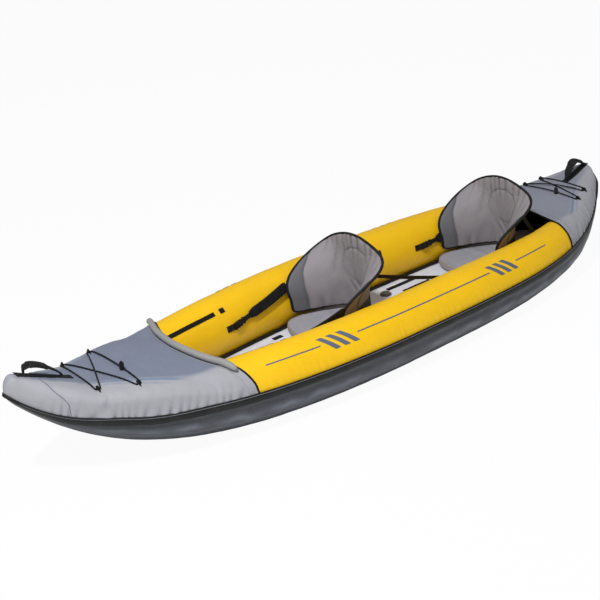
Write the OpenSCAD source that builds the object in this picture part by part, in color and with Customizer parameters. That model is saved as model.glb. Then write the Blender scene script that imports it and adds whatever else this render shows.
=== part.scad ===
// Inflatable tandem kayak. Millimetres, +X to the bow, +Y to port, +Z up, origin under the middle.

/* [Hull] */
// Overall length from bow tip to stern tip
hull_len = 3390; // [3000:10:3800]
// Overall beam over the seam strips
beam = 938; // [860:2:1010]
// Width of one side tube at its fullest
tube_w = 262; // [236:2:286]
// Height of a side tube over its width
tube_ratio = 1.15; // [1.05:0.01:1.25]
// Fullest station, from the middle of the length
mid_x = -41; // [-90:1:40]
// Angle of the hull seam above the widest line of the tube
seam_mid = 12; // [8:1:16]
// How far that angle falls over the fore deck
seam_ease = 5; // [2:1:8]
// How far it falls further at the bow tip
seam_drop = 30; // [20:1:34]
// Thickness of the coated hull and deck cloth
skin_t = 2.4; // [1.6:0.2:3]
// Play between neighbouring layers of cloth
lay_gap = 0.6; // [0.4:0.1:1.2]

/* [Bow] */
// Lift of the bow tip over the middle
bow_rise = 259; // [200:1:300]
// How late the bow lifts
bow_sheer = 5.9; // [4.5:0.1:7]
// How late the bow narrows
bow_plan = 2.17; // [1.9:0.01:2.6]
// Half-width left at the bow tip
bow_end_r = 24; // [18:1:40]
// How late the bow tubes thin down
bow_taper = 3.94; // [3:0.01:5]
// Height of the deck ridge at the cockpit
ridge_z = 311; // [306:1:330]
// Slope of the ridge over the fore deck
ridge_slope = 0.09; // [0.05:0.01:0.14]
// Extra lift of the nose over that slope
beak_h = 92; // [60:1:120]
// Length of the lifted nose
beak_len = 305; // [250:1:380]
// Length of the fore deck from the bow tip to the cockpit
bow_deck_len = 749; // [700:1:800]
// Sweep of the fore deck edge from centre to tube top
fore_sweep = 85; // [50:1:120]

/* [Stern] */
// Lift of the stern tip over the middle
aft_rise = 182; // [150:1:220]
// How late the stern lifts
aft_sheer = 6.3; // [5:0.1:7.5]
// How late the stern narrows
aft_plan = 3.63; // [3:0.01:4.2]
// Half-width left at the stern tip
aft_end_r = 54; // [44:1:62]
// How late the stern tubes thin down
aft_taper = 2.95; // [2.4:0.01:3.5]
// Crown of the deck cloth between the tubes
deck_crown = 6; // [3:1:14]
// Length of the aft deck from the stern tip to the cockpit
stern_deck_len = 545; // [525:1:575]
// Sweep of the aft deck edge from centre to tube top
aft_sweep = 50; // [30:1:70]

/* [Floor] */
// Height of the floor surface
floor_top = 74; // [60:1:84]
// Width of the black strips beside the floor
edge_strip_w = 22; // [14:1:28]

/* [Seats] */
// Distance between the two seats
seat_pitch = 985; // [940:5:1010]
// Distance from the aft deck to the rear seat back
rear_seat_gap = 100; // [90:1:125]
// Thickness of the seat pad
pad_h = 44; // [34:1:50]
// Length of the seat pad
pad_len = 370; // [330:5:400]
// Play between the seat pad and each tube
pad_side_gap = 15.7; // [13:0.1:30]
// Height of the seat back
back_h = 365; // [320:5:390]
// Play between the seat back and each tube
back_side_gap = 18.7; // [17:0.1:30]
// Extra half-width of the seat back over the tubes
back_flare = 43; // [30:1:48]
// Reach of the side wings forward of the centre
wing_reach = 272; // [200:1:280]
// Forward lean of the back over its height
back_lean = 42; // [0:1:50]
// Thickness of the seat back at its middle
back_t = 30; // [22:1:36]
// Radius of the edge binding
bind_r = 5; // [4:0.5:6]

/* [Straps] */
// Width of the seat webbing
web_w = 25; // [20:1:30]
// Thickness of the webbing
web_t = 2; // [1.6:0.1:2.6]
// Width of the padded strap
pad_strap_w = 42; // [34:1:48]
// Distance from the front seat back to its strap tabs
front_strap_reach = 614; // [570:1:660]
// Distance from the rear seat back to its strap tabs
rear_strap_reach = 415; // [410:1:450]
// Distance from the front seat back aft to its stay tabs
front_stay_reach = 307; // [270:1:340]
// Distance from the rear seat back aft to its stay tabs
rear_stay_reach = 2; // [0:1:12]
// Travel of a buckle tongue
buckle_travel = 24; // [18:1:28]

/* [Deck gear] */
// Diameter of the deck cord
cord_d = 6; // [5:0.5:8]
// Diameter of the foam roll on the fore deck edge
roll_d = 28; // [22:1:34]
// Width of the grip sleeve on a handle
grip_d = 28; // [24:1:32]
// Travel of a cord lock button
lock_travel = 4; // [3:0.5:5]

/* [Valves] */
// Outer diameter of a valve flange
valve_d = 58; // [50:1:64]
// Travel of a valve plunger
plunger_travel = 5; // [3:0.5:6]

/* [Hidden] */

x_bow = hull_len / 2;
x_aft = -hull_len / 2;
cockpit_fore = x_bow - bow_deck_len;
cockpit_aft = x_aft + stern_deck_len;
seat_x = cockpit_aft + rear_seat_gap + seat_pitch;
tube_a0 = tube_w / 2;
hull_in = lay_gap;
hull_out = lay_gap + skin_t;
strip_in = hull_out + lay_gap + 0.3;
strip_out = strip_in + 3.4;
cover_t = 2;
chamber_off = -cover_t - 1;
chamber_wall = 3;
tube_c0 = beam / 2 - tube_a0 - strip_out;
well_half = tube_c0 - tube_a0;
pad_half_w = well_half - pad_side_gap;
back_low_w = well_half - back_side_gap;
back_high_w = back_low_w + back_flare;
seg = 18;
function smooth(v) = let (w = min(1, max(0, v))) w * w * (3 - 2 * w);
function seam_ang(x) = seam_mid - seam_ease * smooth((x - cockpit_fore - 54) / 300)
  - seam_drop * smooth((x - x_bow + 365) / 360);
function low_sin(x) = max([for (i = [4:6]) -sin(seam_ang(x) - seg * i)]);
tube_h0 = tube_ratio * (tube_a0 + hull_out) * low_sin(0);
stations = 36;
zip_ang = 132;

// Side tube along the hull: plan position, half-width and centre height
function bow_t(x) = min(1, max(0, (x - mid_x) / (x_bow - mid_x)));
function aft_t(x) = min(1, max(0, (mid_x - x) / (mid_x - x_aft)));
function tube_c(x) = tube_c0 * (1 - pow(bow_t(x), bow_plan) - pow(aft_t(x), aft_plan));
function tube_a(x) = tube_a0 - (tube_a0 - bow_end_r) * pow(bow_t(x), bow_taper)
  - (tube_a0 - aft_end_r) * pow(aft_t(x), aft_taper);
function tube_h(x) = tube_h0 + bow_rise * pow(bow_t(x), bow_sheer) + aft_rise * pow(aft_t(x), aft_sheer);
function tube_pt(x, ang, off) = [x, tube_c(x) + (tube_a(x) + off) * cos(ang),
  tube_h(x) + tube_ratio * (tube_a(x) + off) * sin(ang)];
function bottom_z(x, off) = tube_h(x) - tube_ratio * (tube_a(x) + off) * low_sin(x);
function st_x(i) = let (s = -1 + 2 * i / stations) (x_bow - 4) * (1.25 * s - 0.25 * s * s * s);
function mir(p) = [p[0], -p[1], p[2]];
function rev(l) = [for (i = [len(l) - 1:-1:0]) l[i]];

// Height of the deck cloth over the tubes and the ridge between them
function seam_y(x, off) = tube_c(x) + (tube_a(x) + off) * cos(seam_ang(x));
function seam_z(x, off) = tube_h(x) + tube_ratio * (tube_a(x) + off) * sin(seam_ang(x));
function tube_top(x, off) = tube_h(x) + tube_ratio * (tube_a(x) + off);
function round_end(x, x1) = x <= x1 ? 1 : sqrt(max(0.04, 1 - pow((x - x1) / (x_bow - x1), 2)));
function ridge(x) = let (x1 = x_bow - 44, xc = min(x, x1))
  ridge_z + ridge_slope * (xc - cockpit_fore)
  + beak_h * pow(max(0, (xc - x1 + beak_len - 44) / (beak_len - 44)), 1.15);
function over_tube(x, y, off) = let (d = abs(y) - tube_c(x), a = tube_a(x) + off)
  d > 0 ? tube_h(x) + tube_ratio * a * sqrt(max(0, 1 - pow(min(1, d / a), 2)))
  : tube_top(x, off) + deck_crown * (1 - pow(y / max(1, tube_c(x)), 2));
function fullness(x) = 2.2 + 1.8 * smooth((x - cockpit_fore) / 250)
  * (1 - smooth((x - x_bow + 275) / 230));
function over_ridge(x, y, off) = let (zs = seam_z(x, off), zc = ridge(x) + off, b = seam_y(x, off),
  m = fullness(x))
  zs + (zc - zs) * round_end(x, x_bow - 44) * pow(max(0, 1 - pow(min(1, abs(y) / b), m)), 1 / m);
function fore_z(x, y, off) = max(over_tube(x, y, off), over_ridge(x, y, off));
function aft_z(x, y, off) = over_tube(x, y, off);

// Deck edge at the cockpit and the points across a deck
function fore_edge(y) = cockpit_fore - fore_sweep * pow(abs(y) / (0.9375 * tube_c0), 1.8);
function aft_edge(y) = cockpit_aft + aft_sweep * min(1, abs(y) / (0.9675 * tube_c0));
function deck_y(x, j, off) = j < 5 ? tube_c(x) + (tube_a(x) + off) * cos(seam_ang(x) + 1.5 + seg * j)
  : tube_c(x) * [0.68, 0.34, 0][j - 5];
function deck_z(x, j, y, off, fore) = j == 0 ? tube_pt(x, seam_ang(x) + 1.5, off)[2]
  : fore ? fore_z(x, y, off) : aft_z(x, y, off);
function deck_side(j) = j <= 7 ? 1 : -1;
function deck_j(j) = j <= 7 ? j : 14 - j;
function fore_pt(k, j, off) = let (jj = deck_j(j), xe = fore_edge(deck_y(cockpit_fore - 76, jj, hull_out)),
  s = k / 20, x = xe + (x_bow - 14 - xe) * (1.35 * s - 0.35 * s * s * s), y = deck_y(x, jj, off))
  [x, deck_side(j) * y, deck_z(x, jj, y, off, true)];
function aft_pt(k, j, off) = let (jj = deck_j(j), xe = aft_edge(deck_y(cockpit_aft + 50, jj, hull_out)),
  s = k / 13, x = xe + (x_aft + 8 - xe) * (1.35 * s - 0.35 * s * s * s), y = deck_y(x, jj, off))
  [x, deck_side(j) * y, deck_z(x, jj, y, off, false)];

// Vectors
function unit(v) = v / norm(v);
function tangent(p, i) = unit(p[min(len(p) - 1, i + 1)] - p[max(0, i - 1)]);

// Triangles between two rows of a grid; f flips the side they face
function quad(a, b, c, d, f) = f ? [[a, c, b], [a, d, c]] : [[a, b, c], [a, c, d]];

// Open cloth with thickness: outer and inner grids of points
module cloth(o, i) {
  n = len(o);
  m = len(o[0]);
  h = n * m;
  pts = concat([for (r = o) each r], [for (r = i) each r]);
  tris = concat(
    [for (k = [0:n - 2], j = [0:m - 2]) each
      quad(k * m + j, k * m + j + 1, k * m + m + j + 1, k * m + m + j, false)],
    [for (k = [0:n - 2], j = [0:m - 2]) each
      quad(h + k * m + j, h + k * m + j + 1, h + k * m + m + j + 1, h + k * m + m + j, true)],
    [for (k = [0:n - 2]) each quad(k * m, k * m + m, h + k * m + m, h + k * m, false)],
    [for (k = [0:n - 2]) each
      quad(k * m + m - 1, k * m + 2 * m - 1, h + k * m + 2 * m - 1, h + k * m + m - 1, true)],
    [for (j = [0:m - 2]) each quad(j, j + 1, h + j + 1, h + j, true)],
    [for (j = [0:m - 2]) each
      quad(h - m + j, h - m + j + 1, 2 * h - m + j + 1, 2 * h - m + j, false)]);
  polyhedron(pts, tris, 4);
}

// Solid through closed rings, fanned at both ends
module loft(rings) {
  n = len(rings);
  m = len(rings[0]);
  mean0 = [for (a = [0:2]) [for (p = rings[0]) p[a]] * [for (p = rings[0]) 1 / m]];
  mean1 = [for (a = [0:2]) [for (p = rings[n - 1]) p[a]] * [for (p = rings[0]) 1 / m]];
  pts = concat([for (r = rings) each r], [mean0, mean1]);
  tris = concat(
    [for (k = [0:n - 2], j = [0:m - 1]) let (q = (j + 1) % m) each
      quad(k * m + j, k * m + q, k * m + m + q, k * m + m + j, false)],
    [for (j = [0:m - 1]) [n * m, (j + 1) % m, j]],
    [for (j = [0:m - 1]) [n * m + 1, (n - 1) * m + j, (n - 1) * m + (j + 1) % m]]);
  polyhedron(pts, tris, 4);
}

// Ring through closed rings whose last joins the first
module loop_loft(rings) {
  n = len(rings);
  m = len(rings[0]);
  tris = [for (k = [0:n - 1], j = [0:m - 1]) let (q = (j + 1) % m, e = (k + 1) % n) each
    quad(k * m + j, k * m + q, e * m + q, e * m + j, false)];
  polyhedron([for (r = rings) each r], tris, 4);
}

// Sleeve open at both ends
module sleeve(o, i) {
  n = len(o);
  m = len(o[0]);
  h = n * m;
  pts = concat([for (r = o) each r], [for (r = i) each r]);
  tris = concat(
    [for (k = [0:n - 2], j = [0:m - 1]) let (q = (j + 1) % m) each
      quad(k * m + j, k * m + q, k * m + m + q, k * m + m + j, false)],
    [for (k = [0:n - 2], j = [0:m - 1]) let (q = (j + 1) % m) each
      quad(h + k * m + j, h + k * m + q, h + k * m + m + q, h + k * m + m + j, true)],
    [for (j = [0:m - 1]) let (q = (j + 1) % m) each quad(j, q, h + q, h + j, true)],
    [for (j = [0:m - 1]) let (q = (j + 1) % m) each
      quad(h - m + j, h - m + q, 2 * h - m + q, 2 * h - m + j, false)]);
  polyhedron(pts, tris, 4);
}

// Rings of a section swept along a path; up holds the face direction at each point
function swept(path, up, prof) = [for (i = [0:len(path) - 1])
  let (t = tangent(path, i), s = unit(cross(t, up[i])), n = cross(s, t))
  [for (q = prof) path[i] + s * q[0] + n * q[1]]];
function round_prof(r, n) = [for (i = [0:n - 1]) [r * cos(360 * i / n), r * sin(360 * i / n)]];
function flat_prof(w, t) = [[w / 2, -t / 2], [w / 2, t / 2], [-w / 2, t / 2], [-w / 2, -t / 2]];
module band(path, up, w, t) {
  loft(swept(path, up, flat_prof(w, t)));
}
module rope(path, up, r, n) {
  loft(swept(path, up, round_prof(r, n)));
}
function straight(a, b, n) = [for (i = [0:n]) a + (b - a) * i / n];
function same(v, p) = [for (q = p) v];

// Hull skin from seam to seam
function hull_row(x, off) = let (side = [for (i = [0:6])
  let (a = seam_ang(x) - seg * i, p = tube_pt(x, a, off))
  [p[0], max(p[1], 1.5 + 0.1 * (6 - i)), a < -90 ? bottom_z(x, off) : p[2]]])
  concat(side, [[x, 0, bottom_z(x, off)]], rev([for (p = side) mir(p)]));
module hull_bottom() {
  color("#3e424a") cloth([for (i = [0:stations]) hull_row(st_x(i), hull_out)],
    [for (i = [0:stations]) hull_row(st_x(i), hull_in)]);
}

// Welded end pieces closing both tips
function end_low(x, off, a) = let (q = (a > 270 ? 360 - a : a - 180) / 90,
  p = tube_pt(x, seam_ang(x) * (1 - q) - 90 * q, off))
  a == 270 ? [x, 0, bottom_z(x, off)] : a > 270 ? p : mir(p);
function end_row(x, off, z1) = let (zs = seam_z(x, off), b = seam_y(x, off))
  [for (i = [0:15]) let (a = 360 * i / 16)
    a <= 180 ? [x, b * cos(a) * (1 - 0.14 * sin(a)), zs + (z1 - zs) * sin(a)] : end_low(x, off, a)];
plug_in = 1.7;
plug_top = 3;
module bow_end_plug() {
  color("#5b6068") loft(rev([for (i = [0:4]) let (x = x_bow - 60 + 15 * i, f = i < 4 ? 0 : 12)
    end_row(x, -plug_in - f,
      min(fore_z(x, 0, -plug_in), fore_z(x_bow - 14, 0, -plug_in) + (x_bow - x) * 0.5) - plug_top)]));
}
module stern_end_plug() {
  color("#5b6068") loft([for (i = [0:4]) let (x = x_aft + 60 - 15 * i, f = i < 4 ? 0 : 14)
    end_row(x, -1.9 - f, tube_top(x, -1.9 - f))]);
}

// Black strip over the seam, both sides
function strip_row(x) = let (p = tube_pt(x, seam_ang(x), strip_in),
  q = tube_pt(x, seam_ang(x) - seg, strip_in), d = unit(q - p), n = unit(cross([1, 0, 0], d)),
  w = min(24, 10 + 0.1 * min(x_bow - x, x - x_aft)))
  [p - d * 8, p - d * 8 + n * 3, p + d * w + n * 3, p + d * w];
module rub_strip() {
  loft([for (i = [0:stations]) strip_row(st_x(i))]);
}
module rub_strips() {
  color("#191918") {
    rub_strip();
    mirror([0, 1, 0]) rub_strip();
  }
}

// Decks
module bow_deck() {
  color("#b6b5bb") cloth([for (k = [0:20]) rev([for (j = [0:14]) fore_pt(k, j, hull_out)])],
    [for (k = [0:20]) rev([for (j = [0:14]) fore_pt(k, j, hull_in)])]);
}
module stern_deck() {
  color("#b6b5bb") cloth([for (k = [0:13]) [for (j = [0:14]) aft_pt(k, j, hull_out)]],
    [for (k = [0:13]) [for (j = [0:14]) aft_pt(k, j, hull_in)]]);
}
mid_off = (hull_in + hull_out) / 2 + 1.2;
bind_t = 5;
bind_in = 0.4;
module bow_deck_binding() {
  p = [for (j = [0:14]) fore_pt(0, j, mid_off) - [bind_t / 2 + bind_in, 0, 0]];
  color("#151513") band(p, [for (q = p) [1, 0, 0]], skin_t, bind_t);
}
module stern_deck_binding() {
  p = [for (j = [0:14]) aft_pt(0, j, mid_off) + [bind_t / 2 + bind_in, 0, 0]];
  color("#151513") band(p, [for (q = p) [1, 0, 0]], skin_t, bind_t);
}

// Foam roll on the edge of the fore deck
roll_end = 0.9615 * tube_c0;
function roll_pt(s) = let (y = roll_end * s, x = fore_edge(y) + roll_d * 0.7)
  on_deck(x, y, roll_d / 2 + 1.9, true);
module bow_coaming_roll() {
  p = [for (i = [-10:10]) roll_pt(i / 10)];
  up = same([0, 0, 1], p);
  r = roll_d / 2;
  color("#979795") loft(concat(
    [for (q = [0.35, 0.8]) [for (v = swept(p, up, round_prof(r * q, 10))[0]) v - [0, (1 - q) * 10, 0]]],
    swept(p, up, round_prof(r, 10)),
    [for (q = [0.8, 0.35]) [for (v = swept(p, up, round_prof(r * q, 10))[20]) v + [0, (1 - q) * 10, 0]]]));
}

// Yellow covers over the side tubes along the cockpit
function tube_ring(x, off, n) = [for (i = [0:n - 1]) tube_pt(x, seam_ang(x) + i * 360 / n, off)];
cover_i = [for (i = [0:stations]) if (st_x(i) > cockpit_aft - 70 && st_x(i) < cockpit_fore + 60) i];
module tube_cover() {
  sleeve(rev([for (i = cover_i) tube_ring(st_x(i), 0, 20)]),
    rev([for (i = cover_i) tube_ring(st_x(i), -cover_t, 20)]));
}
module port_tube_cover() {
  color("#f6c922") tube_cover();
}
module starboard_tube_cover() {
  color("#f6c922") mirror([0, 1, 0]) tube_cover();
}

// Air chambers inside the tubes, with a hole for the valve
chamber_i = [for (i = [0:stations]) if (st_x(i) > x_aft + 165 && st_x(i) < x_bow - 200) i];
function chamber_rings(off) = [for (i = chamber_i) tube_ring(st_x(i), off, 10)];
function shrink(r, c, q, dx) = [for (p = r) c + (p - c) * q + [dx, 0, 0]];
function centre(x) = [x, tube_c(x), tube_h(x)];
function capped(off, e) = let (r = chamber_rings(off), n = len(r), x0 = r[0][0][0], x1 = r[n - 1][0][0])
  concat([shrink(r[0], centre(x0), 0.4, -e), shrink(r[0], centre(x0), 0.8, -0.6 * e)], r,
    [shrink(r[n - 1], centre(x1), 0.8, 0.6 * e), shrink(r[n - 1], centre(x1), 0.4, e)]);
valve_x = cockpit_aft - 140;
valve_bore = 44;
fit = 0.4;
valve_mid = (tube_pt(valve_x, seam_mid + 144, chamber_off)
  + tube_pt(valve_x, seam_mid + 180, chamber_off)) / 2;
valve_yaw = atan((tube_pt(valve_x + 40, 170, 0)[1] - tube_pt(valve_x - 40, 170, 0)[1]) / 80);
valve_tilt = 6;
module at_valve() {
  translate(valve_mid) rotate([0, 0, valve_yaw]) rotate([90 - valve_tilt, 0, 0]) children();
}
module air_chamber() {
  difference() {
    loft(rev(capped(chamber_off, 26)));
    loft(rev(capped(chamber_off - chamber_wall, 23)));
    at_valve() translate([0, 0, -40]) cylinder(h = 80, d = valve_bore, $fn = 48);
  }
}
module port_air_chamber() {
  color("#3a3c40") air_chamber();
}
module starboard_air_chamber() {
  color("#3a3c40") mirror([0, 1, 0]) air_chamber();
}

// Inflated floor between the tubes
floor_x0 = x_aft + 365;
floor_x1 = x_bow - 545;
floor_z0 = 3;
function floor_half(x, z) = let (s = (z - tube_h(x)) / (tube_ratio * tube_a(x)))
  tube_c(x) - tube_a(x) * sqrt(max(0, 1 - s * s)) - 4;
function floor_low(x) = bottom_z(x, hull_in) + 1.2;
floor_min_t = 24;
function floor_up(x) = max(floor_top, floor_low(x) + floor_min_t);
function floor_side(x, q) = let (zl = floor_low(x), h = (floor_up(x) - zl) * q, b = floor_half(x, zl + h) * q,
  bl = min(b, floor_half(x, zl + 12)) - edge_strip_w * 0.5)
  [[x, bl * 0.92, zl], [x, bl, zl + h * 0.3], [x, b, zl + h * 0.72], [x, b * 0.96, zl + h * 0.93],
   [x, b * 0.7, zl + h]];
function floor_row(x, q) = let (side = floor_side(x, q))
  concat([for (p = side) mir(p)], [[x, 0, side[4][2]]], rev(side));
floor_valve_x = seat_x - 235;
floor_valve_y = -0.53 * well_half;
module air_floor() {
  n = 22;
  color("#d0ced3") difference() {
    loft([for (i = [0:n]) let (x = floor_x0 + (floor_x1 - floor_x0) * i / n)
      floor_row(x, (i == 0 || i == n) ? 0.7 : 1)]);
    translate([floor_valve_x, floor_valve_y, floor_top - 24]) cylinder(h = 60, d = valve_bore, $fn = 48);
  }
}

// Black strips sewn into the corner between floor and tubes
function strip_pt(x) = [x, floor_half(x, floor_up(x) + 5) - edge_strip_w * 0.44, floor_up(x) + 1.6];
module floor_edge_strip() {
  p = [for (i = [2:20]) strip_pt(floor_x0 + (floor_x1 - floor_x0) * i / 22)];
  band(p, same([0, -sin(12), cos(12)], p), edge_strip_w, web_t);
}
module floor_edge_strips() {
  color("#141414") {
    floor_edge_strip();
    mirror([0, 1, 0]) floor_edge_strip();
  }
}

// Hook-and-loop strips on the floor in front of each seat pad
fore_grip_len = 50;
aft_grip_len = 175;
grip_y = [65, 137];
module grip_strip(x, y, l) {
  translate([x, y - web_w / 2, floor_top + 0.5]) cube([l, web_w, web_t]);
}
module floor_grip_strips() {
  color("#161616") for (s = [-1, 1]) {
    grip_strip(seat_x + pad_len + 12, s * grip_y[1], fore_grip_len);
    grip_strip(seat_x - seat_pitch + 492, s * grip_y[0], aft_grip_len);
    grip_strip(seat_x - seat_pitch + 535, s * grip_y[1], aft_grip_len);
  }
}

// Flat places on the tube cover: face i lies between two edges of its section
function face_edge(x, i) = tube_pt(x, seam_ang(x) + seg * i, 0);
function face_mid(x, i) = (face_edge(x, i) + face_edge(x, i + 1)) / 2;
function face_up(x, i) = unit(cross(face_mid(x - 20, i) - face_mid(x + 20, i),
  face_edge(x, i + 1) - face_edge(x, i)));
function on_face(x, i, off) = face_mid(x, i) + face_up(x, i) * off;
module face_band(x0, x1, i, w, t, n) {
  p = [for (k = [0:n]) on_face(x0 + (x1 - x0) * k / n, i, t / 2 + 0.7)];
  band(p, [for (k = [0:n]) face_up(x0 + (x1 - x0) * k / n, i)], w, t);
}

// Closures over the slots through which the chambers go in
closure_x0 = cockpit_fore - 328;
module tube_closure_strip() {
  face_band(closure_x0, fore_edge(190) - 26, 6, 20, 1.8, 5);
}
module tube_closure_strips() {
  color("#181817") {
    tube_closure_strip();
    mirror([0, 1, 0]) tube_closure_strip();
  }
}

// Small webbing tabs on the tubes: by the closures, at the straps and at the stays
tab_face = 8;
stay_face = 7;
strap_tab = [seat_x + front_strap_reach, seat_x - seat_pitch + rear_strap_reach];
stay_tab = [seat_x - front_stay_reach, seat_x - seat_pitch - rear_stay_reach];
module tube_tabs_side() {
  face_band(closure_x0 - 54, closure_x0 - 28, 6, 22, 1.8, 1);
  for (x = strap_tab) face_band(x, x + 34, tab_face, 28, web_t, 1);
  for (x = stay_tab) face_band(x - 14, x + 14, stay_face, 26, web_t, 1);
}
module tube_tabs() {
  color("#161616") {
    tube_tabs_side();
    mirror([0, 1, 0]) tube_tabs_side();
  }
}

// Deck cord: one loop of cord through four webbing loops, crossed on the deck
cord_r = cord_d / 2;
cord_lift = cord_r + 1.7;
function loop_at(x, q) = [x, q * seam_y(x, hull_out)];
fore_loops = [loop_at(x_bow - 306, 0.694), loop_at(x_bow - 450, 0.725)];
aft_loops = [loop_at(x_aft + 209, 0.671), loop_at(x_aft + 299, 0.6625)];
function deck_at(x, y, fore) = fore ? fore_z(x, y, hull_out) : aft_z(x, y, hull_out);
function deck_xyz(x, y, fore) = [x, y, deck_at(x, y, fore)];
function deck_up(x, y, fore) = unit(cross(deck_xyz(x + 4, y, fore) - deck_xyz(x - 4, y, fore),
  deck_xyz(x, y + 4, fore) - deck_xyz(x, y - 4, fore)));
function on_deck(x, y, lift, fore) = deck_xyz(x, y, fore) + deck_up(x, y, fore) * lift;
function run(a, b, n, hump, fore) = [for (i = [1:n - 1]) let (s = i / n, p = a + (b - a) * s)
  on_deck(p[0], p[1], cord_lift + hump * sin(180 * s), fore)];
function turn(a, s, d, fore) = [for (q = s > 0 ? [-1, 0, 1] : [1, 0, -1])
  let (x = a[0] + d * q * 11, y = s * (a[1] - abs(q) * 3)) on_deck(x, y, cord_lift, fore)];
function cord_path(l, d, fore) = let (f = l[0], r = l[1])
  concat(turn(f, 1, d, fore), run([f[0] + d * 11, f[1] - 3], [f[0] + d * 11, 3 - f[1]], 8, 1, fore),
    turn(f, -1, d, fore), run([f[0] - d * 11, 3 - f[1]], [r[0] + d * 11, r[1] - 3], 8, 1, fore),
    rev(turn(r, 1, d, fore)), run([r[0] - d * 11, r[1] - 3], [r[0] - d * 11, 3 - r[1]], 8, 6, fore),
    rev(turn(r, -1, d, fore)), run([r[0] + d * 11, 3 - r[1]], [f[0] - d * 11, f[1] - 3], 8, 9, fore));
function ring_dir(p, i) = let (n = len(p)) unit(p[(i + 1) % n] - p[(i + n - 1) % n]);
function loop_rings(p, r, n) = [for (i = [0:len(p) - 1])
  let (t = ring_dir(p, i), s = unit(cross(t, [0, 0, 1])), u = cross(s, t))
  [for (k = [0:n - 1]) p[i] + s * r * cos(360 * k / n) + u * r * sin(360 * k / n)]];
module bow_bungee() {
  color("#1c1c1b") loop_loft(loop_rings(cord_path(fore_loops, 1, true), cord_r, 6));
}
module stern_bungee() {
  color("#1c1c1b") loop_loft(loop_rings(cord_path(aft_loops, -1, false), cord_r, 6));
}
loop_w = 14;
loop_seat = [1.75, 0.1, 0.8];
module cord_loop(x, y, fore, lift) {
  c = on_deck(x, y, cord_lift, fore);
  u = deck_up(x, y, fore);
  s = unit(cross(u, [1, 0, 0]));
  r = cord_r + 2.8 + web_t / 2;
  low = -cord_lift + web_t / 2 + lift;
  q = concat([[-r - 9, low], [-r - 1, low]], [for (a = [170:-32:10]) [r * cos(a), r * sin(a)]],
    [[r + 1, low], [r + 9, low]]);
  p = [for (v = q) c + s * v[0] + u * v[1]];
  loft(swept(p, same(cross(s, u), p), [[-web_t / 2, -loop_w / 2], [web_t / 2, -loop_w / 2],
    [web_t / 2, loop_w / 2], [-web_t / 2, loop_w / 2]]));
}
module bungee_loops() {
  color("#171717") for (s = [-1, 1]) {
    for (k = [0, 1]) cord_loop(fore_loops[k][0], s * fore_loops[k][1], true, loop_seat[k]);
    for (l = aft_loops) cord_loop(l[0], s * l[1], false, loop_seat[2]);
  }
}

// Cord locks on the inner cross runs: barrel with a sprung button
lock_d = 20;
lock_h = 27;
lock_bore = 12;
fore_lock_y = 52;
aft_lock_y = 40;
function lock_base(l, d, y, fore) = on_deck(l[0] - d * 11, y, 1.7, fore);
function hump_at(l, y) = 6 * sin(180 * (l[1] - 3 - y) / (2 * l[1] - 6));
module lock_body(l, y) {
  zc = cord_lift - 1.7 + hump_at(l, y);
  difference() {
    cylinder(h = lock_h, d = lock_d, $fn = 40);
    translate([0, 0, zc]) rotate([90, 0, 0])
      cylinder(h = 2 * lock_d, d = cord_d + 3, center = true, $fn = 32);
    translate([0, 0, zc + cord_r + lock_travel - 1]) cylinder(h = lock_h, d = lock_bore, $fn = 36);
  }
}
module lock_button(l, y) {
  z0 = cord_lift - 1.7 + hump_at(l, y) + cord_r + 2 * lock_travel - 0.6;
  translate([0, 0, z0]) cylinder(h = lock_h + lock_travel + 3 - z0, d = lock_bore - 2 * fit, $fn = 36);
}
module bow_lock_body() {
  color("#1a1a1a") translate(lock_base(fore_loops[1], 1, fore_lock_y, true))
    lock_body(fore_loops[1], fore_lock_y);
}
module bow_lock_button() {
  color("#232323") translate(lock_base(fore_loops[1], 1, fore_lock_y, true))
    lock_button(fore_loops[1], fore_lock_y);
}
module stern_lock_body() {
  color("#1a1a1a") translate(lock_base(aft_loops[1], -1, aft_lock_y, false))
    lock_body(aft_loops[1], aft_lock_y);
}
module stern_lock_button() {
  color("#232323") translate(lock_base(aft_loops[1], -1, aft_lock_y, false))
    lock_button(aft_loops[1], aft_lock_y);
}

// Carry handles: sewn webbing base on the ridge, tubular strap and grip sleeve
strap_r = 5;
base_t = 2.4;
base_lift = 1.2;
function base_pt(x, fore) = on_deck(x, 0, base_t / 2 + base_lift, fore);
function handle_end(x, fore) = on_deck(x, 0, base_lift + base_t + strap_r + 0.4, fore);
function handle_pt(x0, x1, h, s, fore) = let (a = handle_end(x0, fore), b = handle_end(x1, fore))
  a + (b - a) * s + [0, 0, h * pow(sin(180 * pow(s, fore ? 0.65 : 1.3)), fore ? 0.6 : 1)];
function handle_path(x0, x1, h, fore) =
  [for (i = [0:14]) handle_pt(x0, x1, h, pow(i / 14, fore ? 1.4 : 1), fore)];
module handle_strap(p) {
  rope(p, same([0, 1, 0], p), strap_r, 8);
  for (e = [p[0], p[14]]) translate(e) sphere(r = strap_r, $fn = 24);
}
module handle_base(x0, x1, fore) {
  p = [for (i = [0:10]) base_pt(x0 + (x1 - x0) * i / 10, fore)];
  band(p, [for (q = p) deck_up(q[0], 0, fore)], web_w, base_t);
}
module grip(path) {
  p = [for (i = [4:10]) path[i]];
  o = swept(p, same([0, 1, 0], p), [for (q = round_prof(grip_d / 2, 12)) [q[0] * 0.56, q[1]]]);
  i = swept(p, same([0, 1, 0], p), round_prof(strap_r + 0.5, 12));
  sleeve(o, i);
}
fore_grab = [x_bow - 84, x_bow - 231];
fore_grab_h = 38;
aft_grab = [x_aft + 33, x_aft + 181];
aft_grab_h = 62;
module bow_handle_base() {
  color("#1b1b1a") handle_base(x_bow - 55, x_bow - 273, true);
}
module bow_handle_strap() {
  p = handle_path(fore_grab[0], fore_grab[1], fore_grab_h, true);
  color("#1e1e1d") handle_strap(p);
}
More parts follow.
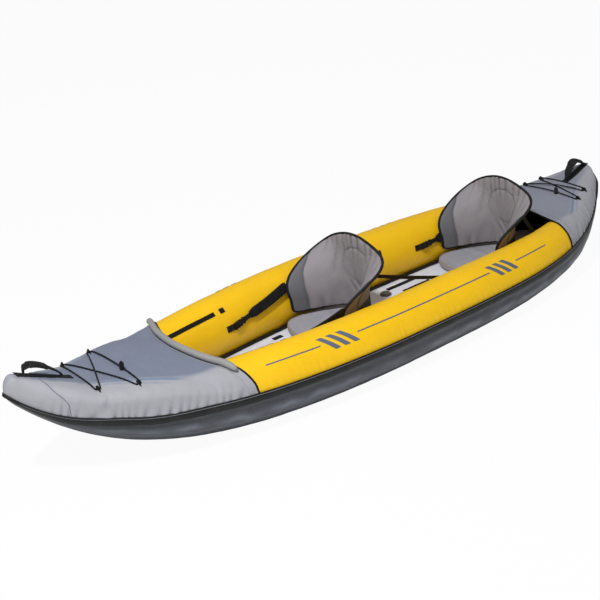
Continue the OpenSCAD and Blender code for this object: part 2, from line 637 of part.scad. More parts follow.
module bow_handle_sleeve() {
  color("#242423") grip(handle_path(fore_grab[0], fore_grab[1], fore_grab_h, true));
}
module stern_handle_base() {
  color("#1b1b1a") handle_base(x_aft + 19, x_aft + 195, false);
}
module stern_handle_strap() {
  p = handle_path(aft_grab[0], aft_grab[1], aft_grab_h, false);
  color("#1e1e1d") handle_strap(p);
}
module stern_handle_sleeve() {
  color("#242423") grip(handle_path(aft_grab[0], aft_grab[1], aft_grab_h, false));
}

// Seat pads: crowned cushions with drawn-in sides and a cross channel
pad_base_t = 4;
pad_z0 = floor_top + 0.5 + pad_base_t + 0.4;
pad_top = floor_top + 0.5 + pad_base_t + pad_h;
function pad_half(u) = pad_half_w * (0.76 + 0.24 * min(1, u * 1.6))
  * (u > 0.9 ? sqrt(1 - pow((u - 0.9) / 0.16, 2)) : 1);
function pad_high(u) = (pad_h - pad_base_t - 0.4) * (0.52 + 0.48 * pow(sin(180 * min(1, max(0, u))), 0.35))
  - 4 * exp(-pow((u - 0.36) / 0.03, 2));
function pad_side(u, dx) = let (x = seat_x + dx + 6 + pad_len * u, b = pad_half(u), h = pad_high(u))
  [for (q = [[0.88, 0], [0.98, 0.25], [1, 0.5], [0.96, 0.76], [0.84, 0.9], [0.45, 0.97]])
    [x, b * q[0], pad_z0 + h * q[1]]];
function pad_row(u, dx) = let (side = pad_side(u, dx))
  concat([for (p = side) mir(p)], [[side[0][0], 0, pad_z0 + pad_high(u)]], rev(side));
module seat_pad(dx) {
  loft([for (u = [0, 0.03, 0.1, 0.2, 0.3, 0.36, 0.42, 0.55, 0.7, 0.82, 0.9, 0.95, 0.98, 1]) pad_row(u, dx)]);
}
module front_seat_pad() {
  color("#9a9aa0") seat_pad(0);
}
module rear_seat_pad() {
  color("#9a9aa0") seat_pad(-seat_pitch);
}
module seat_pad_bases() {
  side = [for (u = [0, 0.25, 0.5, 0.9, 0.97, 1]) [(pad_len - 26) * u, -0.84 * pad_half(u)]];
  color("#161617") for (dx = [0, -seat_pitch]) translate([seat_x + dx + 16, 0, floor_top + 0.5])
    linear_extrude(pad_base_t) polygon(concat(side, rev([for (p = side) [p[0], -p[1]]])));
}

// Seat backs: wrapped cushion, wider over the tubes, rounded top
back_z0 = pad_top + 14;
back_sh = 0.66;
function back_w(v) = v < back_sh ? back_low_w + (back_high_w - back_low_w) * smooth((v - 0.17) / 0.49)
  : back_high_w * pow(1 - pow(min(0.998, (v - back_sh) / (1 - back_sh)), 1.8), 0.7);
function back_reach(v) = wing_reach * smooth((0.87 - v) / 0.68);
function back_pt(s, v, dx) = let (y = s * back_w(v), w = abs(y) / back_low_w)
  [seat_x + dx + back_lean * v + back_reach(v) * pow(w, 2.2), y, back_z0 + back_h * v];
function back_n(s, v, dx) = let (d = 0.02, q = max(-0.96, min(0.96, s)), w = max(0.03, min(0.93, v)))
  unit(cross(back_pt(q + d, w, dx) - back_pt(q - d, w, dx), back_pt(q, w + d, dx) - back_pt(q, w - d, dx)));
function puff(s, v) = back_t / 2 * (0.3 + 0.7 * pow(max(0, 1 - pow(abs(s), 3)), 0.5)
  * pow(sin(180 * min(0.985, 0.03 + v * 0.955)), 0.4));
back_rows = [0, 0.05, 0.14, 0.24, 0.34, 0.44, 0.54, 0.64, 0.73, 0.81, 0.88, 0.94, 0.975];
back_cols = [-1, -0.93, -0.8, -0.62, -0.44, -0.22, 0, 0.22, 0.44, 0.62, 0.8, 0.93, 1];
module back_cushion(dx) {
  cloth([for (v = back_rows) [for (s = back_cols) back_pt(s, v, dx) - back_n(s, v, dx) * puff(s, v)]],
    [for (v = back_rows) [for (s = back_cols) back_pt(s, v, dx) + back_n(s, v, dx) * puff(s, v)]]);
}
module front_back_cushion() {
  color("#949492") back_cushion(0);
}
module rear_back_cushion() {
  color("#949492") back_cushion(-seat_pitch);
}
function edge_out(s, v, dx) = let (q = back_pt(s, v, dx), top = v > 0.96, d = 0.02,
  t = unit(top ? back_pt(s + d, v, dx) - back_pt(s - d, v, dx)
    : back_pt(s, v + d, dx) - back_pt(s, v - d, dx)),
  c = top ? back_pt(s * 0.8, v - 0.1, dx) : back_pt(s * 0.85, v, dx), w = (q - c) - t * ((q - c) * t))
  q + unit(w) * (bind_r + (top ? 2.6 : 1.2));
edge_rows = concat([0.02], [for (i = [2:11]) back_rows[i]]);
function edge_path(dx) = concat([for (v = edge_rows) edge_out(1, v, dx)],
  [for (s = [0.8, 0.44, 0, -0.44, -0.8]) edge_out(s, 0.975, dx)],
  rev([for (v = edge_rows) edge_out(-1, v, dx)]));
module back_binding(dx) {
  p = edge_path(dx);
  rope(p, [for (q = p) unit([1, 0, 0.2])], bind_r, 6);
}
module front_back_binding() {
  color("#151514") back_binding(0);
}
module rear_back_binding() {
  color("#151514") back_binding(-seat_pitch);
}
panel_rows = [0.05, 0.14, 0.24, 0.34, 0.44, 0.54, 0.64, 0.73];
panel_cols = [-0.8, -0.62, -0.44, -0.22, 0, 0.22, 0.44, 0.62, 0.8];
panel_t = 2.4;
function behind(s, v, dx, off) = back_pt(s, v, dx) - back_n(s, v, dx) * (puff(s, v) + off);
module back_panel(dx) {
  cloth([for (v = panel_rows) [for (s = panel_cols) behind(s, v, dx, 0.7 + panel_t)]],
    [for (v = panel_rows) [for (s = panel_cols) behind(s, v, dx, 0.7)]]);
}
module front_back_panel() {
  color("#7e7a76") back_panel(0);
}
module rear_back_panel() {
  color("#7e7a76") back_panel(-seat_pitch);
}

// Side straps: tab on the tube, buckle, webbing, padded strap to the wing
buckle = [42, 31, 10];
wing_v = [0.36, 0.2];
strap_roll = -73;
function tab_at(k) = on_face(strap_tab[k], tab_face, 9);
function wing_at(k) = edge_out(1, wing_v[k], k * -seat_pitch) + [bind_r + 2, 0, 0];
function strap_dir(k) = unit(wing_at(k) - tab_at(k));
function strap_len(k) = norm(wing_at(k) - tab_at(k));
module at_strap(k, d) {
  u = strap_dir(k);
  translate(tab_at(k) + u * d) rotate([strap_roll, -asin(u[2]), atan2(u[1], u[0])]) children();
}
tongue_in = 20;
wall = 2;
module buckle_body(k) {
  at_strap(k, 0) difference() {
    translate([0, -buckle[1] / 2, -buckle[2] / 2]) cube(buckle);
    translate([buckle[0] - tongue_in - 4, -buckle[1] / 2 + wall + 1, -buckle[2] / 2 + wall])
      cube([tongue_in + 8, buckle[1] - 2 * wall - 2, buckle[2] - 2 * wall]);
    translate([5, -web_w / 2, -buckle[2]]) cube([5, web_w, 2 * buckle[2]]);
  }
  p = straight(tab_at(k) - strap_dir(k) * 2.5, on_face(strap_tab[k] + 14, tab_face, web_t + 3), 2);
  band(p, same(face_up(strap_tab[k], tab_face), p), web_w - 1, web_t);
}
module seat_buckle_bodies() {
  color("#141414") for (k = [0, 1]) {
    buckle_body(k);
    mirror([0, 1, 0]) buckle_body(k);
  }
}
prong_w = 5;
module tongue(k) {
  in_w = buckle[1] - 2 * wall - 2 - 2 * fit;
  in_h = buckle[2] - 2 * wall - 2 * fit;
  at_strap(k, buckle[0]) {
    for (y = [-in_w / 2, in_w / 2 - prong_w])
      translate([-tongue_in, y, -in_h / 2]) cube([tongue_in + 2, prong_w, in_h]);
    translate([0.8, -in_w / 2, -in_h / 2]) cube([9, in_w, in_h]);
    difference() {
      translate([9, -buckle[1] / 2, -in_h / 2]) cube([11, buckle[1], in_h]);
      translate([12.5, -web_w / 2 + 0.5, -buckle[2]]) cube([4.5, web_w - 1, 2 * buckle[2]]);
    }
  }
}
module front_port_tongue() {
  color("#161616") tongue(0);
}
module front_starboard_tongue() {
  color("#161616") mirror([0, 1, 0]) tongue(0);
}
module rear_port_tongue() {
  color("#161616") tongue(1);
}
module rear_starboard_tongue() {
  color("#161616") mirror([0, 1, 0]) tongue(1);
}
strap_pad_t = 7;
web_at = buckle[0] + 20.6;
web_run = 26;
module strap(k) {
  l = strap_len(k);
  at_strap(k, web_at) translate([0, -web_w / 2 + 1, -web_t / 2]) cube([web_run, web_w - 2, web_t]);
  at_strap(k, web_at + web_run - 1) translate([0, -web_w / 2 - 3, -3]) cube([9, web_w + 6, 6]);
  at_strap(k, web_at + web_run + 7) translate([0, -pad_strap_w / 2, -strap_pad_t / 2])
    cube([l - web_at - web_run - (k == 0 ? 18.4 : 25.4), pad_strap_w, strap_pad_t]);
}
module front_port_strap() {
  color("#1a1a1a") strap(0);
}
module front_starboard_strap() {
  color("#1a1a1a") mirror([0, 1, 0]) strap(0);
}
module rear_port_strap() {
  color("#1a1a1a") strap(1);
}
module rear_starboard_strap() {
  color("#1a1a1a") mirror([0, 1, 0]) strap(1);
}

// Stays from the seat backs to the tubes behind
stay_s = 0.62;
stay_v = 0.6;
module stay(k) {
  a = behind(stay_s, stay_v, k * -seat_pitch, panel_t + (k == 0 ? 1.8 : 4.85));
  b = on_face(stay_tab[k], stay_face, web_t + (k == 0 ? 2.1 : 3.3));
  p = straight(a, b, 3);
  band(p, same(unit([0.3, -0.8, 0.5]), p), web_w - 3, web_t);
}
module front_seat_stays() {
  color("#181818") {
    stay(0);
    mirror([0, 1, 0]) stay(0);
  }
}
module rear_seat_stays() {
  color("#181818") {
    stay(1);
    mirror([0, 1, 0]) stay(1);
  }
}

// Valves: flanged barrel, sprung plunger and screw cap
valve_fl = 2.6;
valve_fl_t = 3;
stem_d = 12;
barrel_d = valve_bore - 2 * fit;
cap_gap = 0.4;
cap_h = 7;
module at_floor_valve() {
  translate([floor_valve_x, floor_valve_y, floor_top - 2]) children();
}
module valve_body() {
  difference() {
    union() {
      translate([0, 0, valve_fl]) cylinder(h = valve_fl_t, d = valve_d, $fn = 64);
      translate([0, 0, -16]) cylinder(h = 16 + valve_fl + 1, d = barrel_d, $fn = 48);
    }
    translate([0, 0, -12]) cylinder(h = 60, d = barrel_d - 8, $fn = 48);
    translate([0, 0, -20]) cylinder(h = 60, d = stem_d + 2 * fit, $fn = 36);
  }
}
module valve_plunger() {
  translate([0, 0, -15]) cylinder(h = 15, d = stem_d, $fn = 36);
  translate([0, 0, -12 + plunger_travel + fit]) cylinder(h = 3, d = stem_d + 8, $fn = 36);
}
module valve_cap() {
  difference() {
    translate([0, 0, valve_fl + valve_fl_t + cap_gap]) cylinder(h = cap_h, d = valve_d - 14, $fn = 64);
    for (s = [-1, 1]) translate([s * 10 - 8, -10, valve_fl + valve_fl_t + cap_gap + cap_h - 3])
      translate([s > 0 ? 4 : 0, 6, 0]) cube([12, 8, 10]);
  }
}
module valve_bodies() {
  color("#4a4c50") {
    at_valve() valve_body();
    mirror([0, 1, 0]) at_valve() valve_body();
    at_floor_valve() valve_body();
  }
}
module port_valve_cap() {
  color("#5a5d62") at_valve() valve_cap();
}
module starboard_valve_cap() {
  color("#5a5d62") mirror([0, 1, 0]) at_valve() valve_cap();
}
module floor_valve_cap() {
  color("#8d9095") at_floor_valve() valve_cap();
}
module port_valve_plunger() {
  color("#77797d") at_valve() valve_plunger();
}
module starboard_valve_plunger() {
  color("#77797d") mirror([0, 1, 0]) at_valve() valve_plunger();
}
module floor_valve_plunger() {
  color("#77797d") at_floor_valve() valve_plunger();
}

// Moulded fin under the stern
fin_x = x_aft + 375;
fin_h = 52;
fin_len = 150;
fin_w = 9;
fin_slope = atan((bottom_z(fin_x - 60, hull_out) - bottom_z(fin_x + 60, hull_out)) / 120);
module tracking_fin() {
  color("#2a2c30") translate([fin_x, 0, bottom_z(fin_x, hull_out) - 0.1]) rotate([0, fin_slope, 0]) {
    translate([-100, -30, -3]) cube([200, 60, 3]);
    rotate([90, 0, 0]) translate([0, 0, -fin_w / 2]) linear_extrude(fin_w)
      polygon([[fin_len / 2, -2], [-fin_len / 2, -2], [-fin_len / 2 - 12, -fin_h],
        [-fin_len / 2 + 38, -fin_h]]);
  }
}

hull_bottom();
bow_end_plug();
stern_end_plug();
rub_strips();
bow_deck();
stern_deck();
bow_deck_binding();
stern_deck_binding();
bow_coaming_roll();
port_tube_cover();
starboard_tube_cover();
port_air_chamber();
starboard_air_chamber();
air_floor();
floor_edge_strips();
floor_grip_strips();
tube_closure_strips();
tube_tabs();
bow_bungee();
stern_bungee();
bungee_loops();
bow_lock_body();
bow_lock_button();
stern_lock_body();
stern_lock_button();
bow_handle_base();
bow_handle_strap();
bow_handle_sleeve();
stern_handle_base();
stern_handle_strap();
stern_handle_sleeve();
front_seat_pad();
rear_seat_pad();
seat_pad_bases();
front_back_cushion();
rear_back_cushion();
front_back_binding();
rear_back_binding();
front_back_panel();
rear_back_panel();
seat_buckle_bodies();
front_port_tongue();
front_starboard_tongue();
rear_port_tongue();
rear_starboard_tongue();
front_port_strap();
front_starboard_strap();
rear_port_strap();
rear_starboard_strap();
front_seat_stays();
rear_seat_stays();
valve_bodies();
port_valve_cap();
starboard_valve_cap();
floor_valve_cap();
port_valve_plunger();
starboard_valve_plunger();
floor_valve_plunger();
tracking_fin();
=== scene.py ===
import bisect
import math
import bpy
from mathutils import Matrix, Vector, noise


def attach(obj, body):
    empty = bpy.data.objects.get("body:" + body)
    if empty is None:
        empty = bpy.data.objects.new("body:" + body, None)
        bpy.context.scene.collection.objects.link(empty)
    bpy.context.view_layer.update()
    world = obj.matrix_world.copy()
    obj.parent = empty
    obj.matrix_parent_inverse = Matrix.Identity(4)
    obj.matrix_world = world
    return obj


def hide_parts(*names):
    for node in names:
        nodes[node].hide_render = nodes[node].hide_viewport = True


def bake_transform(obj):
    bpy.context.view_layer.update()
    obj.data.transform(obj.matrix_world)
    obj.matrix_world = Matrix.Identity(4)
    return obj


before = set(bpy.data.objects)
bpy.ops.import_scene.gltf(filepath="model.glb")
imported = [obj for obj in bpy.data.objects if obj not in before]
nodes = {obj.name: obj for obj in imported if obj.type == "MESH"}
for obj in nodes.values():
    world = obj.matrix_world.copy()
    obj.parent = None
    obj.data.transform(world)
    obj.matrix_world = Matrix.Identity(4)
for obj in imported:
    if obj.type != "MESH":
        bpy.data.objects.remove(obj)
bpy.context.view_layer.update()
mm = 0.001
print("frame loaded:", len(nodes), "nodes")


def clamp(v, lo=0.0, hi=1.0):
    return max(lo, min(hi, v))


def smooth(v):
    w = clamp(v)
    return w * w * (3 - 2 * w)


def sind(a):
    return math.sin(math.radians(a))


def cosd(a):
    return math.cos(math.radians(a))


def bell(v, width):
    return math.exp(-(v / width) ** 2)


def wobble(a, b=0.0, c=0.0):
    return noise.noise(Vector((a, b, c)))


def lin(rgb):
    return tuple((c / 255 / 12.92) if c <= 10.3 else ((c / 255 + 0.055) / 1.055) ** 2.4 for c in rgb) + (1.0,)


# hull lines, in millimetres, the same curves as the solids
hull = {"length": 3390.0, "beam": 938.0, "tubeWidth": 262.0, "tubeRatio": 1.15, "midX": -41.0,
        "seamMid": 12.0, "seamEase": 5.0, "seamDrop": 30.0, "skin": 2.4, "layGap": 0.6,
        "bowRise": 259.0, "bowSheer": 5.9, "bowPlan": 2.17, "bowEnd": 24.0, "bowTaper": 3.94,
        "ridgeZ": 311.0, "ridgeSlope": 0.09, "beakH": 92.0, "beakLen": 305.0, "beakTip": 44.0,
        "cockpitFore": 946.0, "foreSweep": 85.0, "foreReach": 0.9375,
        "aftRise": 182.0, "aftSheer": 6.3, "aftPlan": 3.63, "aftEnd": 54.0, "aftTaper": 2.95,
        "crown": 6.0, "cockpitAft": -1150.0, "aftSweep": 50.0, "aftReach": 0.9675, "floorTop": 74.0,
        "bowDeck": 749.0, "sternDeck": 545.0}
xBow = hull["length"] / 2
xAft = -xBow
bowTip, sternTip = 34.0, 58.0   # how far the rounding of each end reaches
faceStep = 18   # degrees between the flat faces of the solids' tube section
tubeA0 = hull["tubeWidth"] / 2
hullIn = hull["layGap"]
hullOut = hullIn + hull["skin"]
stripIn = hullOut + hull["layGap"] + 0.3
tubeC0 = hull["beam"] / 2 - tubeA0 - stripIn - 3.4
wellHalf = tubeC0 - tubeA0


def seamAng(x):
    ease = hull["seamEase"] * smooth((x - hull["cockpitFore"] - 54) / 300)
    return hull["seamMid"] - ease - hull["seamDrop"] * smooth((x - xBow + 365) / 360)


def lowSin(x):
    return max(-sind(seamAng(x) - faceStep * i) for i in (4, 5, 6))


tubeH0 = hull["tubeRatio"] * (tubeA0 + hullOut) * lowSin(0)


def bowT(x):
    return clamp((x - hull["midX"]) / (xBow - hull["midX"]))


def aftT(x):
    return clamp((hull["midX"] - x) / (hull["midX"] - xAft))


def tubeC(x):
    return tubeC0 * (1 - bowT(x) ** hull["bowPlan"] - aftT(x) ** hull["aftPlan"])


def tubeA(x):
    return (tubeA0 - (tubeA0 - hull["bowEnd"]) * bowT(x) ** hull["bowTaper"]
            - (tubeA0 - hull["aftEnd"]) * aftT(x) ** hull["aftTaper"])


def tubeH(x):
    return tubeH0 + hull["bowRise"] * bowT(x) ** hull["bowSheer"] + hull["aftRise"] * aftT(x) ** hull["aftSheer"]


def tubePt(x, ang, off):
    a = tubeA(x) + off
    return Vector((x, tubeC(x) + a * cosd(ang), tubeH(x) + hull["tubeRatio"] * a * sind(ang)))


def bottomZ(x, off):
    return tubeH(x) - hull["tubeRatio"] * (tubeA(x) + off) * lowSin(x)


def seamY(x, off):
    return tubeC(x) + (tubeA(x) + off) * cosd(seamAng(x))


def seamZ(x, off):
    return tubeH(x) + hull["tubeRatio"] * (tubeA(x) + off) * sind(seamAng(x))


def ridge(x):
    x1 = xBow - hull["beakTip"]
    xc = min(x, x1)
    bl = hull["beakLen"] - hull["beakTip"]
    return (hull["ridgeZ"] + hull["ridgeSlope"] * (xc - hull["cockpitFore"])
            + hull["beakH"] * max(0, (xc - x1 + bl) / bl) ** 1.15)


def overTube(x, y, off):
    d = abs(y) - tubeC(x)
    a = tubeA(x) + off
    top = tubeH(x) + hull["tubeRatio"] * a
    if d > 0:
        return tubeH(x) + hull["tubeRatio"] * a * math.sqrt(max(0, 1 - min(1, d / a) ** 2))
    return top + hull["crown"] * (1 - (y / max(1, tubeC(x))) ** 2)


def overRidge(x, y, off):
    zs = seamZ(x, off)
    zc = ridge(x) + off
    m = 2.2 + 1.8 * smooth((x - hull["cockpitFore"]) / 250) * (1 - smooth((x - xBow + 275) / 230))
    return zs + (zc - zs) * max(0, 1 - min(1, abs(y) / seamY(x, off)) ** m) ** (1 / m)


def softMax(a, b, k):
    h = max(k - abs(a - b), 0) / k
    return max(a, b) + h * h * k / 4


def tipFall(x):
    # how the nose and the stern post round down to the seam
    for end, span, power in ((xBow, 40.0, 2.4), (xAft, 30.0, 2.0)):
        d = abs(end - x)
        if x * end > 0 and d < span:
            return max(0.03, 1 - ((span - d) / span) ** power) ** (1 / power)
    return 1.0


def deckZ(x, y, off, fore):
    z = overTube(x, y, off)
    if fore:
        z = softMax(z, overRidge(x, y, off), 10)
    low = seamZ(x, off)
    return low + (z - low) * tipFall(x)


def deckUp(x, y, fore):
    dx = (deckZ(x + 4, y, hullOut, fore) - deckZ(x - 4, y, hullOut, fore)) / 8
    dy = (deckZ(x, y + 4, hullOut, fore) - deckZ(x, y - 4, hullOut, fore)) / 8
    return Vector((-dx, -dy, 1)).normalized()


def onDeck(x, y, lift, fore):
    return Vector((x, y, deckZ(x, y, hullOut, fore))) + deckUp(x, y, fore) * lift


def foreEdge(y):
    return hull["cockpitFore"] - hull["foreSweep"] * (abs(y) / (hull["foreReach"] * tubeC0)) ** 1.8


def aftEdge(y):
    return hull["cockpitAft"] + hull["aftSweep"] * min(1, abs(y) / (hull["aftReach"] * tubeC0))


def tipRound(x):
    for end, span in ((xBow, bowTip), (xAft, sternTip)):
        d = abs(end - x)
        if x * end > 0 and d < span:
            return math.sqrt(max(0.002, 1 - ((span - d) / span) ** 2))
    return 1.0


# node groups that several finishes share
def newGroup(name, inputs, outputs):
    tree = bpy.data.node_groups.new(name, "ShaderNodeTree")
    for label, kind, value in inputs:
        sock = tree.interface.new_socket(label, in_out="INPUT", socket_type=kind)
        sock.default_value = value
    for label in outputs:
        tree.interface.new_socket(label, in_out="OUTPUT", socket_type="NodeSocketFloat")
    return tree, tree.nodes.new("NodeGroupInput"), tree.nodes.new("NodeGroupOutput")


def calc(tree, op, a, b=None, c=None):
    node = tree.nodes.new("ShaderNodeMath")
    node.operation = op
    for sock, v in zip(node.inputs, (a, b, c)):
        if isinstance(v, (int, float)):
            sock.default_value = v
        elif v is not None:
            tree.links.new(v, sock)
    return node.outputs[0]


def noiseOut(tree, vector, scale, detail):
    node = tree.nodes.new("ShaderNodeTexNoise")
    tree.links.new(vector, node.inputs["Vector"])
    if isinstance(scale, (int, float)):
        node.inputs["Scale"].default_value = scale
    else:
        tree.links.new(scale, node.inputs["Scale"])
    node.inputs["Detail"].default_value = detail
    return node.outputs["Fac"]


def buildWeave():
    tree, gin, gout = newGroup("clothWeave", [("Vector", "NodeSocketVector", (0, 0, 0)),
                                              ("Threads", "NodeSocketFloat", 900.0)], ["Height", "Tone"])
    split = tree.nodes.new("ShaderNodeSeparateXYZ")
    tree.links.new(gin.outputs["Vector"], split.inputs[0])
    waves = []
    for axis in (0, 1):
        run = calc(tree, "MULTIPLY", split.outputs[axis], gin.outputs["Threads"])
        waves.append(calc(tree, "SINE", calc(tree, "MULTIPLY", run, math.pi)))
    warp, weft = waves
    over = calc(tree, "GREATER_THAN", calc(tree, "MULTIPLY", warp, weft), 0.0)
    under = calc(tree, "SUBTRACT", 1.0, over)
    height = calc(tree, "ADD", calc(tree, "MULTIPLY", over, calc(tree, "ABSOLUTE", warp)),
                  calc(tree, "MULTIPLY", under, calc(tree, "ABSOLUTE", weft)))
    tree.links.new(height, gout.inputs["Height"])
    tree.links.new(calc(tree, "MULTIPLY_ADD", height, 0.22, 0.86), gout.inputs["Tone"])
    return tree


def buildMottle():
    tree, gin, gout = newGroup("softMottle", [("Vector", "NodeSocketVector", (0, 0, 0)),
                                              ("Scale", "NodeSocketFloat", 6.0)], ["Tone", "Height"])
    broad = noiseOut(tree, gin.outputs["Vector"], gin.outputs["Scale"], 3.0)
    fine = noiseOut(tree, gin.outputs["Vector"], calc(tree, "MULTIPLY", gin.outputs["Scale"], 9.0), 4.0)
    tone = calc(tree, "ADD", calc(tree, "MULTIPLY", broad, 0.7), calc(tree, "MULTIPLY", fine, 0.3))
    spread = tree.nodes.new("ShaderNodeMapRange")
    tree.links.new(tone, spread.inputs["Value"])
    spread.inputs["From Min"].default_value = 0.34
    spread.inputs["From Max"].default_value = 0.66
    tree.links.new(spread.outputs["Result"], gout.inputs["Tone"])
    tree.links.new(fine, gout.inputs["Height"])
    return tree


def buildScuff():
    tree, gin, gout = newGroup("rubbedDust", [("Vector", "NodeSocketVector", (0, 0, 0)),
                                              ("Scale", "NodeSocketFloat", 14.0),
                                              ("Amount", "NodeSocketFloat", 0.3)], ["Mask"])
    patch = noiseOut(tree, gin.outputs["Vector"], gin.outputs["Scale"], 5.0)
    grit = noiseOut(tree, gin.outputs["Vector"], calc(tree, "MULTIPLY", gin.outputs["Scale"], 12.0), 2.0)
    both = calc(tree, "MULTIPLY", patch, grit)
    rise = tree.nodes.new("ShaderNodeMapRange")
    rise.interpolation_type = "SMOOTHSTEP"
    tree.links.new(both, rise.inputs["Value"])
    rise.inputs["From Min"].default_value = 0.22
    rise.inputs["From Max"].default_value = 0.42
    tree.links.new(calc(tree, "MULTIPLY", rise.outputs["Result"], gin.outputs["Amount"]), gout.inputs["Mask"])
    return tree


def buildRibs():
    tree, gin, gout = newGroup("webbingRibs", [("Vector", "NodeSocketVector", (0, 0, 0)),
                                               ("Ribs", "NodeSocketFloat", 420.0)], ["Height", "Tone"])
    split = tree.nodes.new("ShaderNodeSeparateXYZ")
    tree.links.new(gin.outputs["Vector"], split.inputs[0])
    lift = calc(tree, "MULTIPLY", split.outputs[0], gin.outputs["Ribs"])
    run = calc(tree, "MULTIPLY", split.outputs[1], gin.outputs["Ribs"])
    left = calc(tree, "SINE", calc(tree, "MULTIPLY", calc(tree, "ADD", lift, run), math.pi))
    right = calc(tree, "SINE", calc(tree, "MULTIPLY", calc(tree, "SUBTRACT", lift, run), math.pi))
    height = calc(tree, "MULTIPLY", calc(tree, "ABSOLUTE", left), calc(tree, "ABSOLUTE", right))
    tree.links.new(height, gout.inputs["Height"])
    tree.links.new(calc(tree, "MULTIPLY_ADD", height, 0.5, 0.72), gout.inputs["Tone"])
    return tree


groups = {"weave": buildWeave(), "mottle": buildMottle(), "scuff": buildScuff(), "ribs": buildRibs()}


def placeGroup(tree, key, vector, **values):
    node = tree.nodes.new("ShaderNodeGroup")
    node.node_tree = groups[key]
    tree.links.new(vector, node.inputs["Vector"])
    for label, v in values.items():
        node.inputs[label].default_value = v
    return node


def mixColor(tree, a, b, factor, mode="MIX"):
    node = tree.nodes.new("ShaderNodeMix")
    node.data_type = "RGBA"
    node.blend_type = mode
    for index, v in ((6, a), (7, b), (0, factor)):
        if isinstance(v, (int, float, tuple)):
            node.inputs[index].default_value = v
        else:
            tree.links.new(v, node.inputs[index])
    return node.outputs[2]


def makeFinish(name, color, rough, vary, mottle, bump, weave=0, ribs=0, depth=0.0004, dust=0.12,
               dustColor=(196, 190, 180), coat=0.0, sheen=0.0, level=0.5, zones=(), coords="UV"):
    mat = bpy.data.materials.new(name)
    mat.use_nodes = True
    tree = mat.node_tree
    shader = tree.nodes["Principled BSDF"]
    place = tree.nodes.new("ShaderNodeTexCoord").outputs[coords]
    cloud = placeGroup(tree, "mottle", place, Scale=mottle)
    rgb = lin(color)
    base = mixColor(tree, tuple(c * (1 - vary) for c in rgb[:3]) + (1.0,),
                    tuple(min(1, c * (1 + vary)) for c in rgb[:3]) + (1.0,), cloud.outputs["Tone"])
    for attribute, zoneColor in zones:   # printed or dyed places, and painted highlight and painted shade, kept in the mesh
        mark = tree.nodes.new("ShaderNodeAttribute")
        mark.attribute_name = attribute
        base = mixColor(tree, base, lin(zoneColor), mark.outputs["Fac"])
    height = calc(tree, "MULTIPLY", cloud.outputs["Height"], 0.5)
    for key, label, count in (("weave", "Threads", weave), ("ribs", "Ribs", ribs)):
        if count:
            thread = placeGroup(tree, key, place, **{label: float(count)})
            base = mixColor(tree, base, thread.outputs["Tone"], 1.0, "MULTIPLY")
            height = calc(tree, "ADD", height, thread.outputs["Height"])
    if dust:
        scuff = placeGroup(tree, "scuff", place, Scale=mottle * 2.6, Amount=dust)
        base = mixColor(tree, base, lin(dustColor), scuff.outputs["Mask"])
    spread = tree.nodes.new("ShaderNodeMapRange")
    tree.links.new(cloud.outputs["Tone"], spread.inputs["Value"])
    spread.inputs["To Min"].default_value = max(0.05, rough - 0.07)
    spread.inputs["To Max"].default_value = min(1.0, rough + 0.07)
    relief = tree.nodes.new("ShaderNodeBump")
    relief.inputs["Strength"].default_value = bump
    relief.inputs["Distance"].default_value = depth
    tree.links.new(height, relief.inputs["Height"])
    tree.links.new(base, shader.inputs["Base Color"])
    tree.links.new(spread.outputs["Result"], shader.inputs["Roughness"])
    tree.links.new(relief.outputs["Normal"], shader.inputs["Normal"])
    shader.inputs["Specular IOR Level"].default_value = level
    shader.inputs["Coat Weight"].default_value = coat
    shader.inputs["Coat Roughness"].default_value = 0.35
    shader.inputs["Sheen Weight"].default_value = sheen
    shader.inputs["Sheen Roughness"].default_value = 0.5
    return mat


